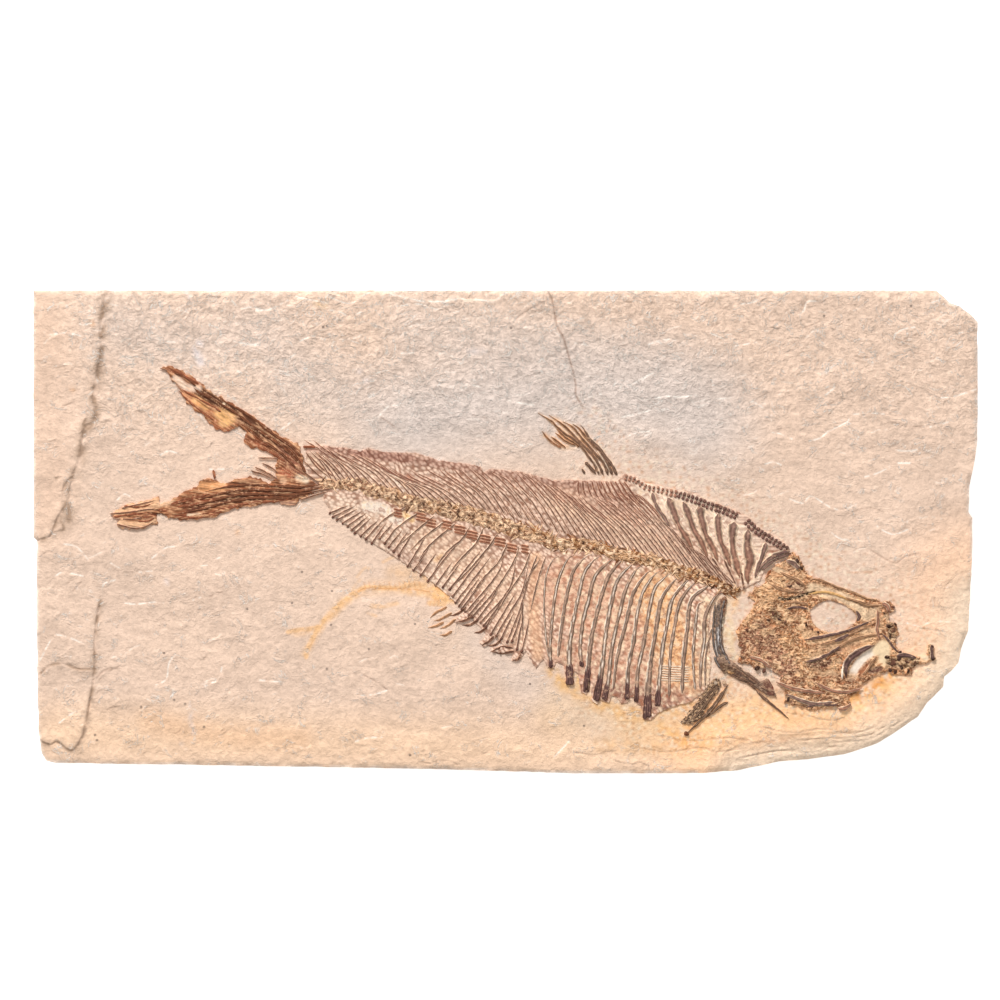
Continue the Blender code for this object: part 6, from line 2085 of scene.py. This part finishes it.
TAIL_ZONES = [
    ([(200, 392), (222, 404), (240, 416), (262, 432), (290, 450)], 8, pigment(92, 56, 40), 0.9, 0.6),
    ([(178, 388), (196, 404), (214, 418), (226, 426)], 8, pigment(196, 128, 88), 0.8, 0.4),
    ([(196, 400), (206, 406)], 6, pigment(240, 182, 122), 0.85, 0.5),
    ([(220, 414), (230, 418), (224, 423)], 8, pigment(240, 184, 122), 0.85, 0.5),
    ([(214, 426), (224, 430), (232, 428)], 3.5, pigment(164, 92, 60), 0.8, 0.5),
    ([(224, 404)], 2.2, CREAM, 0.9, 0.0), ([(192, 402), (208, 406)], 3, pigment(226, 160, 104), 0.8, 0.6),
    ([(176, 378), (186, 387), (198, 388)], 5.5, pigment(240, 208, 184), 1.0, 0.0),
    ([(166, 370), (180, 374), (198, 383)], 3.2, pigment(158, 94, 66), 0.9, 0.4),
    ([(246, 438), (256, 442), (266, 447)], 6, pigment(160, 94, 66), 0.8, 0.7),
    ([(284, 452), (292, 462), (298, 474)], 12, pigment(138, 88, 70), 0.8, 1.0),
    ([(282, 472), (290, 474)], 6, pigment(176, 100, 72), 0.85, 0.8),
    ([(283, 481)], 5, pigment(236, 186, 150), 0.9, 0.3),
    ([(299, 478), (306, 480)], 5, pigment(246, 218, 188), 1.0, 0.0),
    ([(303, 452), (306, 466)], 3, UMBER, 0.6, 0.6),
    ([(190, 508), (220, 500), (250, 496), (285, 493), (312, 488)], 8, pigment(84, 54, 42), 0.95, 0.5),
    ([(184, 506), (204, 500), (220, 494)], 8, pigment(140, 78, 52), 0.7, 0.6),
    ([(176, 517), (200, 516)], 5, pigment(120, 56, 36), 0.7, 0.6),
    ([(202, 486), (212, 487), (222, 486)], 7, pigment(230, 164, 112), 0.95, 0.3),
    ([(240, 484), (256, 483)], 5, pigment(136, 92, 70), 0.7, 0.7),
    ([(188, 515), (200, 514)], 1.6, CREAM, 0.7, 0.2),
    ([(112, 514), (135, 508), (156, 503)], 9, pigment(238, 186, 144), 1.0, 0.2),
    ([(118, 523), (135, 526), (153, 520)], 6, pigment(238, 190, 150), 0.95, 0.2),
    ([(146, 517), (155, 516)], 4, pigment(140, 70, 46), 0.8, 0.5),
    ([(160, 504), (172, 502)], 4, pigment(236, 196, 160), 0.7, 0.2),
    ([(280, 503), (294, 503)], 3.4, pigment(196, 150, 126), 0.7, 0.3),
]


def along_tail(points):
    """Across and along the nearer lobe, so that the streaks run with the rays."""
    up, up_along = line_distance(points, smooth_line(UPPER_LOBE, 1 * MM))
    low, low_along = line_distance(points, smooth_line(LOWER_LOBE, 1 * MM))
    across = np.where(up < low, points[:, 0] * 0.55 + points[:, 1] * 0.83, points[:, 0] * 0.12 + points[:, 1])
    return np.column_stack([across, np.where(up < low, up_along, 2 + low_along) * LOBE_LENGTH])


def ray_crests(places):
    """Crests of the fused rays; their places are squeezed lengthwise, so that each crest is long."""
    lengthwise = np.column_stack([places[:, 0], places[:, 1] * RAY_SQUEEZE])
    return 1 - np.abs(wander(lengthwise, 0.62 * MM, 42.0))


def tail_lift(points):
    places = along_tail(points)
    fibres = 1 - np.abs(wander(places, 0.55 * MM, 41.0, 1.0))
    rays = ray_crests(places)
    strength = tail_strength(points)
    return (0.30 * rays ** 2 + 0.12 * fibres - 0.12 - 0.1 * (1 - strength)) * (0.35 + 0.65 * strength) * MM


def tail_strength(points):
    return pattern_left(points, TAIL_ZONES, ZONE_HARD)


def paint_tail(points):
    colours = glazed(points, pigment(158, 100, 68), TAIL_ZONES, SKIN_HARD)
    rays = ray_crests(along_tail(points))
    # Painted highlight on the crests of the fused rays and painted shade in the troughs between them, on the
    # same crests that lift the sheet.
    colours = glaze(colours, 0.7 * soft(2.6 * rays - 1.75), pigment(238, 184, 140))
    return glaze(colours, 0.6 * soft(0.95 - 1.7 * rays), pigment(66, 38, 26))


tail = bone_sheet("tail_sheet", ragged(TAIL_BORDER, 1.6, 1.5 * MM), TAIL_MESH, tail_lift, paint_tail,
                  bone_finish, uv=along_tail)
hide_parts("tail_fin")

# %% Loose rays of the tail
DARK_RAY = [(194, 124, 84), (122, 68, 43), (82, 47, 33), (152, 98, 68), (96, 55, 38), (66, 39, 28),
            (178, 114, 80)]
RED_RAY = [(214, 150, 110), (150, 84, 56), (116, 60, 40), (176, 110, 78), (120, 66, 46), (98, 54, 38),
           (204, 140, 102)]
FINE_RAY = [(240, 214, 190), (168, 120, 92), (112, 72, 54), (120, 80, 62), (130, 88, 68), (190, 146, 118),
            (240, 216, 192)]
TAIL_RAYS = [
    ([(302, 458), (292, 447), (276, 436), (258, 422), (240, 410), (214, 396)], 1.5, DARK_RAY),
    ([(300, 464), (286, 450), (268, 437), (250, 424), (234, 412), (208, 396)], 1.4, DARK_RAY),
    ([(298, 470), (282, 454), (262, 440), (246, 428), (236, 421)], 1.4, DARK_RAY),
    ([(292, 460), (276, 449), (262, 443), (248, 433)], 1.3, RED_RAY),
    ([(286, 462), (272, 453), (258, 447)], 1.2, RED_RAY),
    ([(306, 474), (300, 462), (290, 450), (278, 441)], 1.4, DARK_RAY),
    ([(222, 412), (206, 403), (190, 394), (180, 388)], 1.1, RED_RAY),
    ([(214, 420), (202, 412), (190, 402), (178, 390)], 1.1, RED_RAY),
    ([(212, 398), (200, 393), (194, 388)], 1.4, DARK_RAY),
    ([(199, 384), (188, 378), (176, 371), (166, 368)], 1.3, RED_RAY),
    ([(196, 386), (184, 377), (172, 372)], 1.0, DARK_RAY),
    ([(318, 485), (300, 487), (276, 486), (250, 485), (226, 487), (204, 492)], 1.4, DARK_RAY),
    ([(318, 488), (298, 491), (270, 490), (240, 490), (212, 496), (186, 503)], 1.5, DARK_RAY),
    ([(316, 491), (292, 495), (262, 494), (232, 496), (204, 503), (176, 511)], 1.5, DARK_RAY),
    ([(310, 494), (286, 498), (256, 498), (228, 502), (202, 509), (172, 515)], 1.4, DARK_RAY),
    ([(300, 497), (274, 501), (250, 503), (226, 508), (204, 514), (182, 517)], 1.2, RED_RAY),
    ([(240, 505), (222, 511), (208, 516), (180, 519)], 1.1, RED_RAY),
    ([(206, 496), (186, 499), (168, 505)], 1.1, RED_RAY),
    ([(110, 514), (130, 512), (150, 509), (158, 509)], 0.9, FINE_RAY),
    ([(117, 524), (132, 528), (144, 527), (156, 521)], 1.0, FINE_RAY),
    ([(116, 519), (134, 519), (152, 515)], 0.8, FINE_RAY),
    ([(122, 508), (140, 504), (156, 500)], 0.8, FINE_RAY),
    ([(158, 510), (170, 511)], 1.4, RED_RAY), ([(213, 470), (214, 474), (215, 479)], 1.3, RED_RAY),
    ([(251, 471), (262, 474), (277, 481)], 0.9, FINE_RAY),
    ([(255, 467), (268, 473), (280, 481)], 0.9, FINE_RAY),
    ([(262, 463), (272, 468), (280, 475)], 0.8, FINE_RAY),
    ([(258, 458), (270, 458), (281, 459)], 0.8, FINE_RAY),
    ([(306, 452), (316, 466), (330, 478)], 0.9, FINE_RAY),
    ([(310, 456), (323, 469), (338, 479)], 0.9, FINE_RAY),
    ([(304, 461), (315, 472), (326, 481)], 0.9, FINE_RAY),
    ([(316, 452), (328, 464), (344, 477)], 0.8, FINE_RAY),
    ([(300, 490), (318, 487), (342, 485)], 1.0, FINE_RAY),
    ([(296, 495), (316, 491), (336, 488)], 1.0, FINE_RAY),
    ([(300, 500), (316, 495), (330, 491)], 0.9, FINE_RAY),
    ([(302, 470), (314, 479), (328, 484)], 0.9, FINE_RAY),
    ([(112, 517), (128, 515), (150, 512)], 0.9, RED_RAY),
    ([(124, 506), (140, 507), (154, 503)], 0.9, RED_RAY),
    ([(132, 512), (144, 517), (156, 516)], 1.1, RED_RAY),
    ([(138, 521), (148, 521), (156, 517)], 1.0, RED_RAY),
    ([(170, 505), (196, 498), (218, 491)], 1.0, RED_RAY),
    ([(176, 508), (200, 503), (228, 497)], 1.0, RED_RAY),
    ([(160, 368), (168, 371)], 0.8, FINE_RAY), ([(303, 447), (318, 447)], 1.4, RED_RAY),
]


def on_tail(line):
    return skin_height(line) - 0.02 * MM


tail_rays = Heap("tail_rays")
for cells, width, profile in TAIL_RAYS:
    bone(tail_rays, cells, (width, 1.15 * width, width, 0.7 * width), 0.34 if profile is DARK_RAY else 0.22,
         row_of(profile), on_tail, (0.06, 0.25), 0.3)
tail_ray_piece = tail_rays.piece(bone_finish, "tail_bone")
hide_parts("tail_fin")
print("tail rays:", len(TAIL_RAYS))

# %% [markdown]
# ## Camera, floor and light
#
# The plate lies flat and is looked at from straight above through a long lens, so that it stays
# free of perspective. A pale floor glows a little, as a light table does, which keeps the shadows
# soft. A wide lamp from the upper left grazes the face, so every ledge and rib has a bright and a
# dark side, and an even sky fills in the rest.

# %% Camera
VIEW_COLS = 1000                       # the view is this many grid steps wide
CAMERA_HEIGHT = 0.9
SENSOR = 36.0
camera_data = bpy.data.cameras.new("camera")
camera_data.sensor_width = SENSOR
camera_data.lens = SENSOR * CAMERA_HEIGHT / (VIEW_COLS * STEP)
camera_data.clip_start = 0.05
camera = bpy.data.objects.new("camera", camera_data)
view_x, view_y = spots([(VIEW_COLS / 2, VIEW_COLS / 2)])[0]
camera.location = (view_x, view_y, BED + CAMERA_HEIGHT)
bpy.context.scene.collection.objects.link(camera)
bpy.context.scene.camera = camera
print("lens, mm:", round(camera_data.lens, 1))

# %% Floor
FLOOR_SIZE, FLOOR_TONE, FLOOR_GLOW = 6.0, 0.93, 0.62
bpy.ops.mesh.primitive_plane_add(size=FLOOR_SIZE, location=(0, 0, 0))
floor = bpy.context.object
floor.name = "floor"
floor_finish, _, floor_shader = finish_for("pale_floor", 0.9, 0.1)
floor_shader.inputs["Base Color"].default_value = (FLOOR_TONE, FLOOR_TONE, FLOOR_TONE, 1)
floor_shader.inputs["Emission Color"].default_value = (1, 1, 1, 1)
floor_shader.inputs["Emission Strength"].default_value = FLOOR_GLOW
floor.data.materials.append(floor_finish)

# %% Light
SKY = 0.5
LAMP_PLACE, LAMP_SIZE, LAMP_POWER = (-0.35, 1.0, 0.75), 0.3, 17.0
sky = bpy.data.worlds.new("studio_sky")
bpy.context.scene.world = sky
sky.use_nodes = True
sky.node_tree.nodes["Background"].inputs["Color"].default_value = (1.0, 1.0, 1.0, 1)
sky.node_tree.nodes["Background"].inputs["Strength"].default_value = SKY
bpy.context.scene.view_settings.view_transform = "Standard"


def lamp(name, place, size, power):
    """A square area lamp aimed at the middle of the plate."""
    data = bpy.data.lights.new(name, "AREA")
    data.size = size
    data.energy = power
    made = bpy.data.objects.new(name, data)
    made.location = place
    made.rotation_euler = (Vector((0, 0, BED)) - Vector(place)).to_track_quat("-Z", "Y").to_euler()
    bpy.context.scene.collection.objects.link(made)


lamp("key_lamp", LAMP_PLACE, LAMP_SIZE, LAMP_POWER)
print("lamps: 1, sky strength", SKY)
